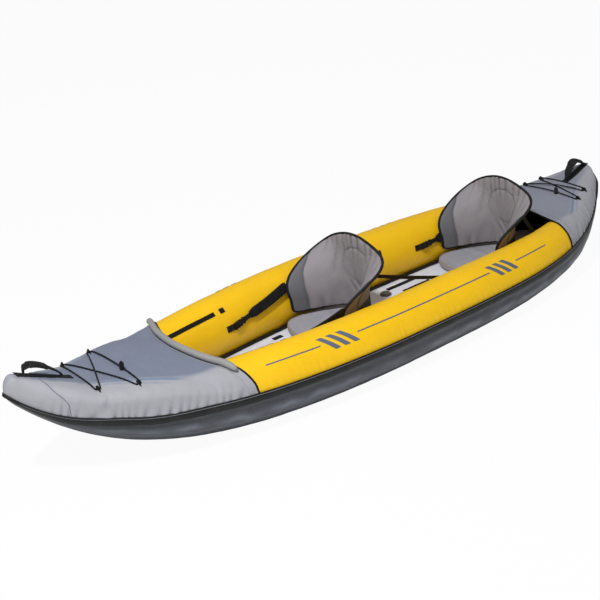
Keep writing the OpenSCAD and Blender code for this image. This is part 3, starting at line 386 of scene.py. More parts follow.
# each row: material name, colour, roughness, tone spread, mottle scale, bump, and what else differs
finishRows = {
    # hull zones: a lighter band painted on the belly as a highlight, and painted shade in the crease under the seam
    "hull_cloth": ("hullCoatedCloth", (56, 60, 69), 0.4, 0.14, 3.0, 0.12,
                   {"weave": 640, "dust": 0.06, "dustColor": (150, 150, 150), "coat": 0.2,
                    "zones": (("hullPaintedHighlight", (124, 130, 140)), ("hullPaintedShade", (38, 41, 48)))}),
    "seam_strip": ("seamStripVinyl", (16, 16, 16), 0.45, 0.2, 9.0, 0.2, {"dust": 0.03, "level": 0.35}),
    # thin grey piping: its grey is a painted highlight on the black seam
    "seam_piping_highlight": ("seamPipingPaintedHighlight", (128, 131, 136), 0.5, 0.1, 12.0, 0.2, {}),
    # deck zones: print on the top and in bands, and painted shade in the pucker valleys
    "deck_cloth": ("deckCloth", (168, 168, 174), 0.6, 0.05, 4.0, 0.16,
                   {"weave": 720, "dust": 0.06, "sheen": 0.04, "level": 0.4,
                    "zones": (("deckTop", (116, 124, 145)), ("deckBand", (98, 123, 157)),
                              ("deckPaintedFoldShade", (96, 102, 116)))}),
    "deck_seam": ("deckSeamThread", (112, 120, 136), 0.7, 0.1, 40.0, 0.2, {"dust": 0.0}),
    "black_binding": ("blackBinding", (12, 12, 11), 0.6, 0.25, 14.0, 0.3,
                      {"ribs": 900, "dust": 0.02, "level": 0.3}),
    "roll_cloth": ("coamingCloth", (151, 151, 149), 0.62, 0.06, 7.0, 0.18, {"weave": 720, "dust": 0.05}),
    "yellow_cloth": ("yellowTubeCloth", (252, 199, 14), 0.46, 0.04, 3.0, 0.12,
                     {"weave": 680, "dust": 0.0, "coat": 0.05, "level": 0.35}),
    "tube_print": ("tubePrintInk", (97, 105, 125), 0.5, 0.07, 6.0, 0.1, {"weave": 680, "dust": 0.0}),
    "chamber_vinyl": ("chamberVinyl", (58, 60, 64), 0.4, 0.1, 6.0, 0.2, {}),
    "floor_vinyl": ("floorCloth", (216, 221, 236), 0.5, 0.04, 4.0, 0.14, {"weave": 640, "dust": 0.05}),
    "black_webbing": ("blackWebbing", (16, 16, 15), 0.62, 0.2, 16.0, 0.5,
                      {"ribs": 380, "depth": 0.0006, "dust": 0.03, "level": 0.3}),
    "hook_tape": ("hookTape", (14, 14, 14), 0.85, 0.25, 30.0, 0.7,
                  {"weave": 900, "depth": 0.0008, "dust": 0.03, "level": 0.3}),
    "cord": ("braidedCord", (14, 14, 14), 0.6, 0.2, 30.0, 0.6,
             {"ribs": 520, "depth": 0.0006, "dust": 0.03, "level": 0.3}),
    "black_plastic": ("blackMouldedPlastic", (25, 25, 27), 0.3, 0.15, 30.0, 0.25,
                      {"depth": 0.0002, "dust": 0.03, "coords": "Object"}),
    "grip_rubber": ("gripRubber", (18, 18, 18), 0.6, 0.2, 20.0, 0.6,
                    {"ribs": 300, "depth": 0.0006, "dust": 0.03, "level": 0.35}),
    "seat_pad_cloth": ("seatPadCloth", (158, 157, 165), 0.66, 0.05, 7.0, 0.2,
                       {"weave": 700, "dust": 0.05, "sheen": 0.05, "level": 0.35,
                        "zones": (("padSide", (148, 143, 144)),)}),
    "pad_base_cloth": ("padBaseCloth", (20, 20, 21), 0.7, 0.2, 12.0, 0.3, {"weave": 700, "dust": 0.03}),
    # seat back zones: darker wing panels, the taupe rear side, and painted shade in the folds
    "seat_back_cloth": ("seatBackCloth", (147, 142, 146), 0.66, 0.06, 7.0, 0.2,
                        {"weave": 700, "dust": 0.05, "sheen": 0.05, "level": 0.35,
                         "zones": (("wingPanel", (106, 107, 112)), ("rearSide", (146, 133, 118)),
                                   ("backPaintedFoldShade", (84, 83, 82)))}),
    "back_seam": ("backSeamThread", (92, 92, 95), 0.7, 0.1, 40.0, 0.2, {"dust": 0.0}),
    "back_panel_cloth": ("backPanelCloth", (150, 138, 124), 0.7, 0.08, 8.0, 0.25,
                         {"weave": 600, "zones": (("lowPocket", (22, 22, 22)),)}),
    "strap_cloth": ("strapCloth", (15, 15, 15), 0.66, 0.2, 14.0, 0.35, {"weave": 640, "dust": 0.03, "level": 0.3}),
    "valve_plastic": ("valvePlastic", (78, 80, 84), 0.4, 0.1, 30.0, 0.2, {"depth": 0.0002, "coords": "Object"}),
    "valve_stem": ("valveStemPlastic", (132, 134, 138), 0.35, 0.08, 40.0, 0.2,
                   {"depth": 0.0002, "coords": "Object"}),
    "fin_plastic": ("finPlastic", (40, 42, 46), 0.42, 0.12, 18.0, 0.25, {"depth": 0.0003, "coords": "Object"}),
    "dark_thread": ("darkThread", (48, 48, 50), 0.7, 0.15, 60.0, 0.3, {"dust": 0.0}),
    "pale_thread": ("paleThread", (196, 195, 196), 0.7, 0.08, 60.0, 0.3, {"dust": 0.0}),
}
finishes = {key: makeFinish(*row[:6], **row[6]) for key, row in finishRows.items()}
print("finishes made:", len(finishes))


# mesh tools; points are Vectors in millimetres
def toMesh(name, points, faces, uvs, finish, away=None, body="hull", slot=None, replaced=()):
    mesh = bpy.data.meshes.new(name)
    mesh.from_pydata([p * mm for p in points], [], faces)
    layer = mesh.uv_layers.new(name="UVMap")
    flat = [c for pair in uvs for c in pair]
    layer.data.foreach_set("uv", flat)
    mesh.polygons.foreach_set("use_smooth", [True] * len(mesh.polygons))
    mesh.update()
    if away is not None:
        away = Vector(away) * mm
        lean = sum((p.center - away).dot(p.normal) * p.area for p in mesh.polygons)
        if lean < 0:
            mesh.flip_normals()
    obj = bpy.data.objects.new(name, mesh)
    bpy.context.scene.collection.objects.link(obj)
    mesh.materials.append(finishes[finish])
    if body:
        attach(obj, body)
    slot or finish
    if replaced:
        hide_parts(*replaced)
    return obj


def arcTable(rows, closed):
    across = []
    for row in rows:
        line = [0.0]
        for a, b in zip(row, row[1:] + (row[:1] if closed else [])):
            line.append(line[-1] + (b - a).length * mm)
        across.append(line)
    down = [[0.0] * len(across[0]) for _ in rows]
    for i in range(1, len(rows)):
        for j in range(len(across[0])):
            k = j % len(rows[0])
            down[i][j] = down[i - 1][j] + (rows[i][k] - rows[i - 1][k]).length * mm
    return across, down


def gridParts(rows, closed=False, caps=False, start=0):
    n, m = len(rows), len(rows[0])
    across, down = arcTable(rows, closed)
    points = [p for row in rows for p in row]
    faces, uvs = [], []
    for i in range(n - 1):
        for j in range(m if closed else m - 1):
            k = (j + 1) % m
            faces.append((start + i * m + j, start + i * m + k, start + (i + 1) * m + k, start + (i + 1) * m + j))
            for a, b in ((i, j), (i, j + 1), (i + 1, j + 1), (i + 1, j)):
                uvs.append((across[a][b], down[a][b]))
    if caps and closed:
        for i, turn in ((0, True), (n - 1, False)):
            ring = list(range(start + i * m, start + (i + 1) * m))
            mid = sum(rows[i], Vector()) / m
            points.append(mid)
            hub = start + len(points) - 1
            for j in range(m):
                a, b = ring[j], ring[(j + 1) % m]
                faces.append((hub, b, a) if turn else (hub, a, b))
                uvs += [(0.0, 0.0), (0.004, 0.0), (0.0, 0.004)]
    return points, faces, uvs


def gridPiece(name, rows, finish, closed=False, caps=False, away=None, thick=0.0, **links):
    points, faces, uvs = gridParts(rows, closed, caps)
    obj = toMesh(name, points, faces, uvs, finish, away, **links)
    if thick:
        shell = obj.modifiers.new("cloth", "SOLIDIFY")
        shell.thickness = thick * mm
        shell.offset = -1
    return obj


def joinParts(name, blocks, finish, **links):
    points, faces, uvs = [], [], []
    for p, f, u in blocks:
        base = len(points)
        points += p
        faces += [tuple(i + base for i in face) for face in f]
        uvs += u
    return toMesh(name, points, faces, uvs, finish, **links)


def setMark(obj, name, values):
    mark = obj.data.attributes.new(name, "FLOAT", "POINT")
    mark.data.foreach_set("value", values)


def gridNormals(rows, closed=False):
    n, m = len(rows), len(rows[0])
    out = []
    for i in range(n):
        line = []
        for j in range(m):
            a = rows[i][(j + 1) % m if closed else min(m - 1, j + 1)]
            b = rows[i][(j - 1) % m if closed else max(0, j - 1)]
            c = rows[min(n - 1, i + 1)][j]
            d = rows[max(0, i - 1)][j]
            v = (a - b).cross(c - d)
            line.append(v.normalized() if v.length > 1e-9 else Vector((0, 0, 1)))
        out.append(line)
    return out


def pushRows(rows, lift, sign=1.0, closed=False):
    normals = gridNormals(rows, closed)
    return [[p + normals[i][j] * (sign * lift(i, j, p)) for j, p in enumerate(row)] for i, row in enumerate(rows)]


def gridAt(rows, fi, fj):
    i, j = int(clamp(fi, 0, len(rows) - 1.001)), int(clamp(fj, 0, len(rows[0]) - 1.001))
    u, v = fi - i, fj - j
    top = rows[i][j].lerp(rows[i][j + 1], v)
    low = rows[i + 1][j].lerp(rows[i + 1][j + 1], v)
    up = (rows[i][j + 1] - rows[i][j]).cross(rows[i + 1][j] - rows[i][j])
    return top.lerp(low, u), up.normalized() if up.length > 1e-9 else Vector((0, 0, 1))


def dense(path, step, closed=False):
    pts = list(path) + (list(path[:1]) if closed else [])
    out = []
    for a, b in zip(pts, pts[1:]):
        count = max(1, int(round((b - a).length / step)))
        out += [a.lerp(b, k / count) for k in range(count)]
    return out if closed else out + [pts[-1]]


def curveThrough(path, per=6, closed=False):
    n = len(path)
    out = []
    for i in range(n if closed else n - 1):
        p0 = path[(i - 1) % n] if closed else path[max(0, i - 1)]
        p1, p2 = path[i], path[(i + 1) % n]
        p3 = path[(i + 2) % n] if closed else path[min(n - 1, i + 2)]
        for k in range(per):
            t = k / per
            out.append(0.5 * (2 * p1 + (p2 - p0) * t + (2 * p0 - 5 * p1 + 4 * p2 - p3) * t * t
                              + (3 * p1 - p0 - 3 * p2 + p3) * t ** 3))
    return out if closed else out + [path[-1]]


def pathDir(path, i, closed):
    n = len(path)
    a = path[(i - 1) % n] if closed else path[max(0, i - 1)]
    b = path[(i + 1) % n] if closed else path[min(n - 1, i + 1)]
    return (b - a).normalized()


def sweepRows(path, ups, prof, closed=False):
    rows = []
    for i, p in enumerate(path):
        t = pathDir(path, i, closed)
        up = ups[i] if isinstance(ups, list) else ups
        s = t.cross(up).normalized()
        n = s.cross(t)
        shape = prof(i) if callable(prof) else prof
        rows.append([p + s * q[0] + n * q[1] for q in shape])
    return rows


def roundProf(r, sides, flat=1.0):
    return [(r * cosd(360 * k / sides), r * flat * sind(360 * k / sides)) for k in range(sides)]


def webProf(w, t):
    edge = [(w / 2 - t / 2 + t / 2 * cosd(a), t / 2 * sind(a)) for a in (-90, -45, 0, 45, 90)]
    mid = [(w * q / 2, t / 2) for q in (0.5, 0, -0.5)]
    left = [(-x, y) for x, y in reversed(edge)]
    return edge + mid + left + [(x, -y) for x, y in reversed(mid)]


def boxProf(w, h, wPower, hPower):
    # rounded box section, half width and half height
    return [(w * math.copysign(abs(cosd(a)) ** wPower, cosd(a)), h * math.copysign(abs(sind(a)) ** hPower, sind(a)))
            for a in range(0, 360, 15)]


def sweepParts(path, ups, prof, closed=False, caps=True):
    rows = sweepRows(path, ups, prof, closed)
    if closed:
        rows.append(rows[0])
    return gridParts(rows, True, caps and not closed)


def roundedEnds(count, r, tail):
    # radius along a path that closes in a soft dome over the last few points
    return [r * math.sqrt(max(0.04, 1 - (1 - min(1, (min(i, count - 1 - i) + 0.35) / tail)) ** 2))
            for i in range(count)]


def tubePiece(name, path, r, finish, sides=12, closed=False, ups=Vector((0, 0, 1)), flat=1.0, tail=0, **links):
    radii = roundedEnds(len(path), r, tail) if tail else [r] * len(path)
    parts = sweepParts(path, ups, lambda i: roundProf(radii[i], sides, flat), closed)
    return joinParts(name, [parts], finish, **links)


def stitchParts(path, ups, pitch=7.0, dash=4.2, width=0.9, height=0.8):
    # one small raised dash for each stitch along a line
    blocks = []
    walk = 0.0
    nextAt = pitch / 2
    for i in range(len(path) - 1):
        a, b = path[i], path[i + 1]
        span = (b - a).length
        while span > 0 and nextAt <= walk + span:
            p = a.lerp(b, (nextAt - walk) / span)
            t = (b - a).normalized()
            up = (ups[i] if isinstance(ups, list) else ups).normalized()
            s = t.cross(up).normalized()
            n = s.cross(t)
            ring = [p + t * (dash * u) + s * (width * v) for u, v in
                    ((-0.5, -0.25), (0, -0.5), (0.5, -0.25), (0.5, 0.25), (0, 0.5), (-0.5, 0.25))]
            low = [q - n * 0.3 for q in ring]
            top = [p + (q - p) * 0.72 + n * height for q in ring]
            pts = low + top + [p + n * height * 1.15]
            faces = [(k, (k + 1) % 6, 6 + (k + 1) % 6, 6 + k) for k in range(6)]
            faces += [(12, 6 + k, 6 + (k + 1) % 6) for k in range(6)]
            faces.append((5, 4, 3, 2, 1, 0))
            uvs = [(0.001 * (k % 4), 0.001 * (k // 4 % 4)) for k in range(24 + 18 + 6)]
            blocks.append((pts, faces, uvs))
            nextAt += pitch
        walk += span
    return blocks


def bevelNode(name, width, finish):
    obj = nodes[name]
    obj.data.materials.clear()
    obj.data.materials.append(finishes[finish])
    edge = obj.modifiers.new("softEdge", "BEVEL")
    edge.width = width * mm
    edge.segments = 2
    edge.limit_method = "ANGLE"
    edge.angle_limit = math.radians(40)
    return obj


# hull skin, one piece from seam to seam, closed at both tips
hullLook = {"stations": 230, "sideSteps": 34, "floorSteps": 6, "crease": 7.5, "belly": 7.0}


def stationX(count):
    xs = [xBow * (1.25 * s - 0.25 * s ** 3) for s in (-1 + 2 * i / count for i in range(count + 1))]
    turns = [sind(90 * k / 8) for k in range(9)]
    tips = [xBow - bowTip + bowTip * q for q in turns] + [xAft + sternTip - sternTip * q for q in turns]
    inner = [x for x in xs if xAft + sternTip < x < xBow - bowTip]
    return sorted(set(round(x, 2) for x in inner + tips))


def hullSide(x):
    top = seamAng(x)
    fade = smooth((xBow - x) / 420) * smooth((x - xAft) / 420)
    wave = 0.7 + 0.5 * wobble(x / 170, 3.1) + 0.35 * wobble(x / 46, 8.4)
    side, marks = [], []
    for k in range(hullLook["sideSteps"] + 1):
        ang = top + (-97 - top) * k / hullLook["sideSteps"]
        fall = top - ang
        dip = hullLook["crease"] * wave * bell(fall - 19 - 4 * wobble(x / 90, 5.5), 6.5)
        swellAt = fall - 41 - 4 * wobble(x / 75, 9.1)
        full = hullLook["belly"] * (0.8 + 0.5 * wobble(x / 130, 2.7)) * bell(swellAt, 11)
        off = hullOut + max(-7, fade * (full - dip + 0.9 * wobble(x / 48, fall / 13, 1.7) * smooth(fall / 10)))
        p = tubePt(x, ang, off)
        side.append(Vector((x, max(0.5, p.y), max(bottomZ(x, hullOut), p.z))))
        drift = wobble(x / 60, 9.1)
        # a lighter band along the belly, painted in as a highlight
        paintedHighlight = bell(fall - 33 - 4 * drift - 2 * wobble(x / 21, 4.6), 5) * clamp(0.55 + 0.9 * wobble(x / 85, 6.6))
        # the second mark darkens the crease under the seam: painted shade
        marks.append((0.75 * fade * paintedHighlight, 0.7 * (0.35 + 0.65 * fade) * bell(fall - 18 - 3 * drift, 7)))
    last = side[-1]
    for k in range(1, hullLook["floorSteps"] + 1):
        side.append(Vector((x, last.y * (1 - k / hullLook["floorSteps"]), last.z)))
        marks.append((0.0, 0.0))
    return side, marks


def hullRows():
    rows, marks = [], []
    for x in stationX(hullLook["stations"]):
        side, tone = hullSide(x)
        q = tipRound(x)
        port = [Vector((p.x, p.y * q, side[0].z + (p.z - side[0].z) * (0.3 + 0.7 * q))) for p in side]
        rows.append(port + [Vector((p.x, -p.y, p.z)) for p in reversed(port[:-1])])
        marks += tone + tone[-2::-1]
    return rows, marks


skinRows, skinMarks = hullRows()
hullSkin = gridPiece("hullSkin", skinRows, "hull_cloth", away=(0, 0, 200), thick=2.0,
                     replaced=("hull_bottom", "bow_end_plug", "stern_end_plug"))
# painted highlight along the hull's belly
setMark(hullSkin, "hullPaintedHighlight", [m[0] for m in skinMarks])
# painted shade in the crease under the seam
setMark(hullSkin, "hullPaintedShade", [m[1] for m in skinMarks])
print("hull skin made")


# seam along both sides: raised black band, a black bead under the deck and a thin grey piping between, whose grey
# is a painted highlight
seamLook = {"stations": 220, "beadR": 3.8, "pipingR": 1.6, "bandT": 3.0, "bandW": 29.0,
            "beadUp": 5.2, "beadOut": 2.4, "pipingUp": 1.0, "pipingOut": 0.7,
            "bowEndR": 6.4, "bowEndRun": 44.0, "sternEndR": 7.6, "sternEndRun": 170.0}


def seamFrame(x):
    q = tipRound(x)
    p = tubePt(x, seamAng(x), stripIn)
    low = tubePt(x, seamAng(x) - 12, stripIn)
    p.y *= q
    low.y *= q
    down = (low - p).normalized()
    out = Vector((0, -down.z, down.y))
    return p, down, (out if out.y >= 0 else -out).normalized()


def mirrorY(p):
    return Vector((p.x, -p.y, p.z))


sides = (("Port", False), ("Starboard", True))


def mirrorRows(rows, turn):
    return [[mirrorY(p) for p in row] for row in rows] if turn else rows


def mirrorBlocks(blocks, turn, flip=False):
    if not turn:
        return blocks
    return [([mirrorY(p) for p in pts], [f[::-1] for f in faces] if flip else faces, uvs)
            for pts, faces, uvs in blocks]


def seamPieces():
    bandRows, bead, piping = [], [], []
    for x in stationX(seamLook["stations"]):
        p, down, out = seamFrame(x)
        w = min(seamLook["bandW"], 11 + 0.12 * min(xBow - x, x - xAft)) * (0.96 + 0.06 * wobble(x / 40, 2.2))
        t = seamLook["bandT"]
        bulge = 0.5 * wobble(x / 22, 4.4)
        bandRows.append([p + down * a + out * b for a, b in
                         ((-2, -1.5), (-3, t * 0.5), (0, t + bulge * 0.3), (w * 0.5, t * 1.1 + bulge),
                          (w - 1, t * 0.8), (w + 0.5, 0), (w - 2, -1.5))])
        bead.append(p - down * seamLook["beadUp"] + out * seamLook["beadOut"])
        piping.append(p - down * seamLook["pipingUp"] + out * (t + seamLook["pipingOut"]))
    up = Vector((0, 0, 1))
    for side, turn in sides:
        band = gridParts(mirrorRows(bandRows, turn), True, True)
        beadPath, pipingPath = mirrorRows((bead, piping), turn)
        beadParts = sweepParts(beadPath, up, roundProf(seamLook["beadR"], 8))
        pipingParts = sweepParts(pipingPath, up, roundProf(seamLook["pipingR"], 8))
        joinParts("seamBand" + side, [band, beadParts], "seam_strip", replaced=("rub_strips",))
        joinParts("seamPiping" + side, [pipingParts], "seam_piping_highlight", slot="seam_strip", replaced=("rub_strips",))


def seamEnds():
    # thicker bead where both strips meet round the nose and round the stern post
    for label, end in (("bow", xBow), ("stern", xAft)):
        span = seamLook[label + "EndRun"]
        side = []
        for k in range(25):
            x = end - math.copysign(span * (1 - sind(90 * k / 24)), end)
            p, down, out = seamFrame(x)
            side.append(p + down * 2.0 + out * 0.6)
        path = side + [mirrorY(p) for p in reversed(side[:-1])]
        tubePiece(label + "SeamEnd", path, seamLook[label + "EndR"], "seam_strip", 12, tail=7,
                  replaced=("rub_strips",))


seamPieces()
seamEnds()
print("seam strips made")


# decks: cloth over the tubes, puckered along the seam
deckLook = {"bowRows": 210, "sternRows": 150, "half": 46, "pucker": 8.0, "puckerRun": 64.0, "puckerPitch": 36.0,
            "soft": 2.4}


def deckRows(fore):
    half = deckLook["half"]
    count = deckLook["bowRows"] if fore else deckLook["sternRows"]
    xRef = hull["cockpitFore"] - 76 if fore else hull["cockpitAft"] + 50
    xEnd = xBow - 0.3 if fore else xAft + 0.3
    b0 = seamY(xRef, hullOut)
    rows = []
    for i in range(count + 1):
        s = i / count
        row = []
        for j in range(2 * half + 1):
            c = cosd(90 * j / half)
            f = math.copysign(abs(c) ** 0.75, c)
            xe = foreEdge(f * b0) if fore else aftEdge(f * b0)
            x = xe + (xEnd - xe) * (1.35 * s - 0.35 * s ** 3)
            b = seamY(x, hullOut)
            z = deckZ(x, f * b, hullOut, fore)
            pin = clamp((1 - abs(f)) / 0.03)
            row.append(Vector((x, f * b * tipRound(x), seamZ(x, hullOut) * (1 - pin) + z * pin)))
        rows.append(row)
    return rows


def deckLift(rows):
    lengths = [[0.0] for _ in rows]
    for i, row in enumerate(rows):
        for a, b in zip(row, row[1:]):
            lengths[i].append(lengths[i][-1] + (b - a).length)

    def tuck(i, j, p):
        fromSeam = min(lengths[i][j], lengths[i][-1] - lengths[i][j])
        seed = 2.0 if p.y > 0 else 9.0
        phase = 2.4 * wobble(p.x / 110, seed)
        amp = clamp(0.6 + 0.8 * wobble(p.x / 75, seed + 4), 0, 1.4)
        fold = abs(math.sin(math.pi * (p.x + 0.35 * fromSeam) / deckLook["puckerPitch"] + 2 * phase)) ** 0.65
        reach = deckLook["puckerRun"] * (0.75 + 0.6 * wobble(p.x / 37, seed + 1))
        calm = smooth((lengths[i][-1] - 260) / 260) * smooth(i / 12) * smooth((len(rows) - 1 - i) / 24)
        return fromSeam, seed, fold, amp * math.exp(-(fromSeam / max(16, reach)) ** 1.6) * calm

    def lift(i, j, p):
        fromSeam, seed, fold, near = tuck(i, j, p)
        slack = deckLook["soft"] * (wobble(p.x / 130, p.y / 90, seed) + 0.6 * wobble(p.x / 42, p.y / 75, seed + 3)
                                    + 0.35 * wobble(p.x / 19, p.y / 60, seed + 5))
        ends = smooth(i / 12) * smooth((len(rows) - 1 - i) / 24)
        tucked = deckLook["pucker"] * fold * near * smooth(fromSeam / 7)
        return tucked + max(-1.5, slack) * smooth(fromSeam / 40) * ends

    # painted shade: darker in the valleys between the puckers along the seam
    def paintedShade(i, j, p):
        fromSeam, _, fold, near = tuck(i, j, p)
        return clamp(1.5 * near * (1 - fold) ** 1.5 * (0.4 + 0.6 * smooth(fromSeam / 7)))

    return lift, paintedShade


def deckMarks(rows, fore):
    # soft nested bands between the shaded top and the pale sides
    top, band = [], []
    for row in rows:
        for p in row:
            q = abs(p.y) / max(1, seamY(p.x, hullOut) * tipRound(p.x))
            if fore:
                run = (p.x - hull["cockpitFore"]) / hull["bowDeck"]
            else:
                run = (hull["cockpitAft"] - p.x) / hull["sternDeck"]
            line = 0.70 - 0.34 * smooth(run * 1.2) + 0.05 * math.sin(run * 7) + 0.2 * smooth(0.5 - p.y / 120)
            fade = 1 - smooth((run - 0.72) / 0.22)
            top.append(smooth((line - q) / 0.10 + 0.5) * (0.9 if fore else 0.55) * (0.35 + 0.65 * fade))
            first = bell(q - line - 0.035, 0.030) * smooth((run - 0.12) / 0.12)
            second = bell(q - line - 0.125, 0.013) * smooth((run - 0.22) / 0.1)
            band.append(clamp(first * 0.85 + second * 0.6) * fade * (1 - smooth((run - 0.5) / 0.25)))
    return top, band


def deckPiece(name, fore, node):
    rows = deckRows(fore)
    marks = deckMarks(rows, fore)
    test = gridNormals(rows)[len(rows) // 2][deckLook["half"]]
    lift, paintedShade = deckLift(rows)
    # painted shade in the pucker valleys
    paintedFoldShade = [paintedShade(i, j, p) for i, row in enumerate(rows) for j, p in enumerate(row)]
    rows = pushRows(rows, lift, 1 if test.z > 0 else -1)
    obj = gridPiece(name, rows, "deck_cloth", away=(rows[0][0].x, 0, -300), thick=2.0, replaced=(node,))
    for mark, values in zip(("deckTop", "deckBand", "deckPaintedFoldShade"), (*marks, paintedFoldShade)):
        setMark(obj, mark, values)
    total = sum(f.area for f in obj.data.polygons)
    print(name, "area", round(total, 3))
    return rows


bowRows = deckPiece("bowDeckCloth", True, "bow_deck")
sternRows = deckPiece("sternDeckCloth", False, "stern_deck")
print("decks made")


# bound edges, hem stitching and the foam roll on the fore deck
edgeLook = {"bindingR": 4.8, "rollR": 14.0, "rollSteps": 84, "rollEnd": 0.935, "rollIn": 19.6, "weltIn": 36.0,
            "weltR": 1.9}


def deckLine(rows, fi):
    pts, ups = [], []
    for j in range(2, len(rows[0]) - 2):
        p, n = gridAt(rows, fi, j)
        if n.z < 0:
            n = -n
        pts.append(p + n * 0.3)
        ups.append(n)
    return pts, ups


def edgePieces():
    for label, rows, sign in (("bow", bowRows, -1), ("stern", sternRows, 1)):
        path = [p + Vector((sign * 1.2, 0, -0.9)) for p in rows[0]]
        tubePiece(label + "DeckBinding", path, edgeLook["bindingR"], "black_binding", 10, flat=0.85,
                  replaced=(label + "_deck_binding",))
    for name, rows, fi in (("bowHemStitches", bowRows, 6.7), ("sternHemStitches", sternRows, 5.4),
                           ("sternHemStitchesInner", sternRows, 7.2)):
        pts, ups = deckLine(rows, fi)
        joinParts(name, stitchParts(pts, ups, 8.0, 5.0, 1.0, 0.7), "deck_seam", slot="deck_cloth")


def rollPath():
    end = edgeLook["rollEnd"] * tubeC0
    path = []
    for k in range(edgeLook["rollSteps"] + 1):
        y = end * (-1 + 2 * k / edgeLook["rollSteps"])
        path.append(onDeck(foreEdge(y) + edgeLook["rollIn"], y, edgeLook["rollR"] + 1.0, True))
    return path


def foamRoll():
    path = rollPath()
    r = edgeLook["rollR"]
    radii = roundedEnds(len(path), r, 4)

    def prof(i):
        shape = []
        for k in range(20):
            a = 360 * k / 20
            wave = math.sin(i * 2.4 + 2 * wobble(i / 4, 2))
            pinch = 1 + 0.02 * wave * max(0, -sind(a)) + 0.015 * wobble(i / 3, a / 50)
            shape.append((radii[i] * pinch * cosd(a), radii[i] * pinch * sind(a)))
        return shape

    roll = joinParts("coamingRoll", [sweepParts(path, Vector((0, 0, 1)), prof)], "roll_cloth",
                     replaced=("bow_coaming_roll",))
    seam = [p + Vector((11, 0, -8)) for p in path[3:-3]]
    ups = [Vector((0.8, 0, 0.6))] * len(seam)
    joinParts("coamingStitches", stitchParts(seam, ups, 8.0, 4.6, 0.8, 0.5), "roll_cloth")
    welt = [onDeck(foreEdge(p.y) + edgeLook["weltIn"], p.y, 1.2, True) for p in path[1:-1]]
    tubePiece("coamingWelt", welt, edgeLook["weltR"], "roll_cloth", 8)


noseSeam = {"line": ((1578, 18), (1559, 51), (1544, 93), (1526, 117), (1516, 128), (1511, 134)), "weltR": 1.5}


def noseSeams():
    flat = curveThrough([Vector((x, y, 0)) for x, y in noseSeam["line"]], 8)
    path, ups = [], []
    for p in flat:
        y = min(p.y, 0.985 * seamY(p.x, hullOut))
        up = deckUp(p.x, y, True)
        path.append(onDeck(p.x, y, 0.5, True))
        ups.append(up)
    for j in (7, 5, 4, 3, 2):
        i = min(range(len(bowRows)), key=lambda k: abs(bowRows[k][j].x - path[-1].x))
        p, n = gridAt(bowRows, i, j)
        if p.z < path[-1].z - 3:
            path.append(p + (n if n.y > 0 else -n) * 0.5)
            ups.append(n if n.y > 0 else -n)
    for side, turn in sides:
        line, face = mirrorRows((path, ups), turn)
        tubePiece("noseSeam" + side, line, noseSeam["weltR"], "deck_seam", 8, slot="deck_cloth", tail=3)
        beside = [p + Vector((5, 0, 0)) for p in line[2:-12]]
        joinParts("noseStitches" + side, stitchParts(beside, face[2:-12], 7.0, 4.4, 0.9, 0.9), "pale_thread",
                  slot="deck_cloth")


edgePieces()
foamRoll()
noseSeams()
print("deck edges made")


# side tubes: yellow covers, the chambers inside and the print on their outer faces
coverLook = {"fore": 1004.0, "aft": -1218.0, "stations": 300, "around": 80, "pucker": 2.6, "puckerRun": 30.0,
             "seamAngle": 109.0}


def coverOff(x, ang):
    fall = (ang - seamAng(x)) % 360          # degrees up from the hull seam, round to it again
    arc = math.radians(min(fall, 180)) * tubeA(x)
    phase = 2.2 * wobble(x / 120, 14.0)
    amp = clamp(0.55 + 0.8 * wobble(x / 80, 17.0), 0, 1.3)
    fold = math.sin(2 * math.pi * x / 34 + 3 * phase)
    reach = coverLook["puckerRun"] * (0.8 + 0.6 * wobble(x / 33, 11))
    tug = coverLook["pucker"] * amp * fold * math.exp(-arc / reach)
    slack = 1.3 * wobble(x / 150, ang / 34, 6.0) + 0.5 * wobble(x / 52, ang / 15, 9.0)
    line = -1.1 * bell((ang - coverLook["seamAngle"]) * math.radians(1) * tubeA(x), 3.2)
    hidden = -7.0 * smooth((fall - 252) / 10) * smooth((356 - fall) / 6)
    return (tug * smooth(arc / 6) if fall < 180 else 0) + slack * smooth(min(fall, 360 - fall) / 14) + line + hidden


def coverPt(x, ang, lift=0.0):
    return tubePt(x, ang, coverOff(x, ang) + lift)


def insideTube(x, turn):
    return (x, -320 if turn else 320, 150)


def tubeCovers():
    rows = []
    count = coverLook["stations"]
    for i in range(count + 1):
        x = coverLook["aft"] + (coverLook["fore"] - coverLook["aft"]) * i / count
        rows.append([coverPt(x, seamAng(x) + 360 * k / coverLook["around"]) for k in range(coverLook["around"])])
    for side, turn in sides:
        use = mirrorRows(rows, turn)
        gridPiece("tubeCover" + side, use, "yellow_cloth", closed=True, away=insideTube(-100, turn), thick=1.6,
                  replaced=(side.lower() + "_tube_cover",))
        line = [coverPt(coverLook["aft"] + 30 + 9 * k, coverLook["seamAngle"] - 1.6, 0.1) for k in range(240)]
        ups = [Vector((0, -0.33, 0.94))] * len(line)
        line, ups = mirrorRows((line, ups), turn)
        joinParts("tubeSeamStitches" + side, stitchParts(line, ups, 8.0, 5.0, 0.9, 0.5), "yellow_cloth")


chamberLook = {"fore": 1490.0, "aft": -1525.0, "stations": 110, "around": 40, "inset": -8.0,
               "valveX": -1290.0, "valveAngles": (156, 192), "valveFlat": 46.0,
               "valveAxis": (0.25813, -0.96044, 0.10453), "ends": ((0.15, 26), (0.5, 22), (0.78, 14), (0.93, 6))}


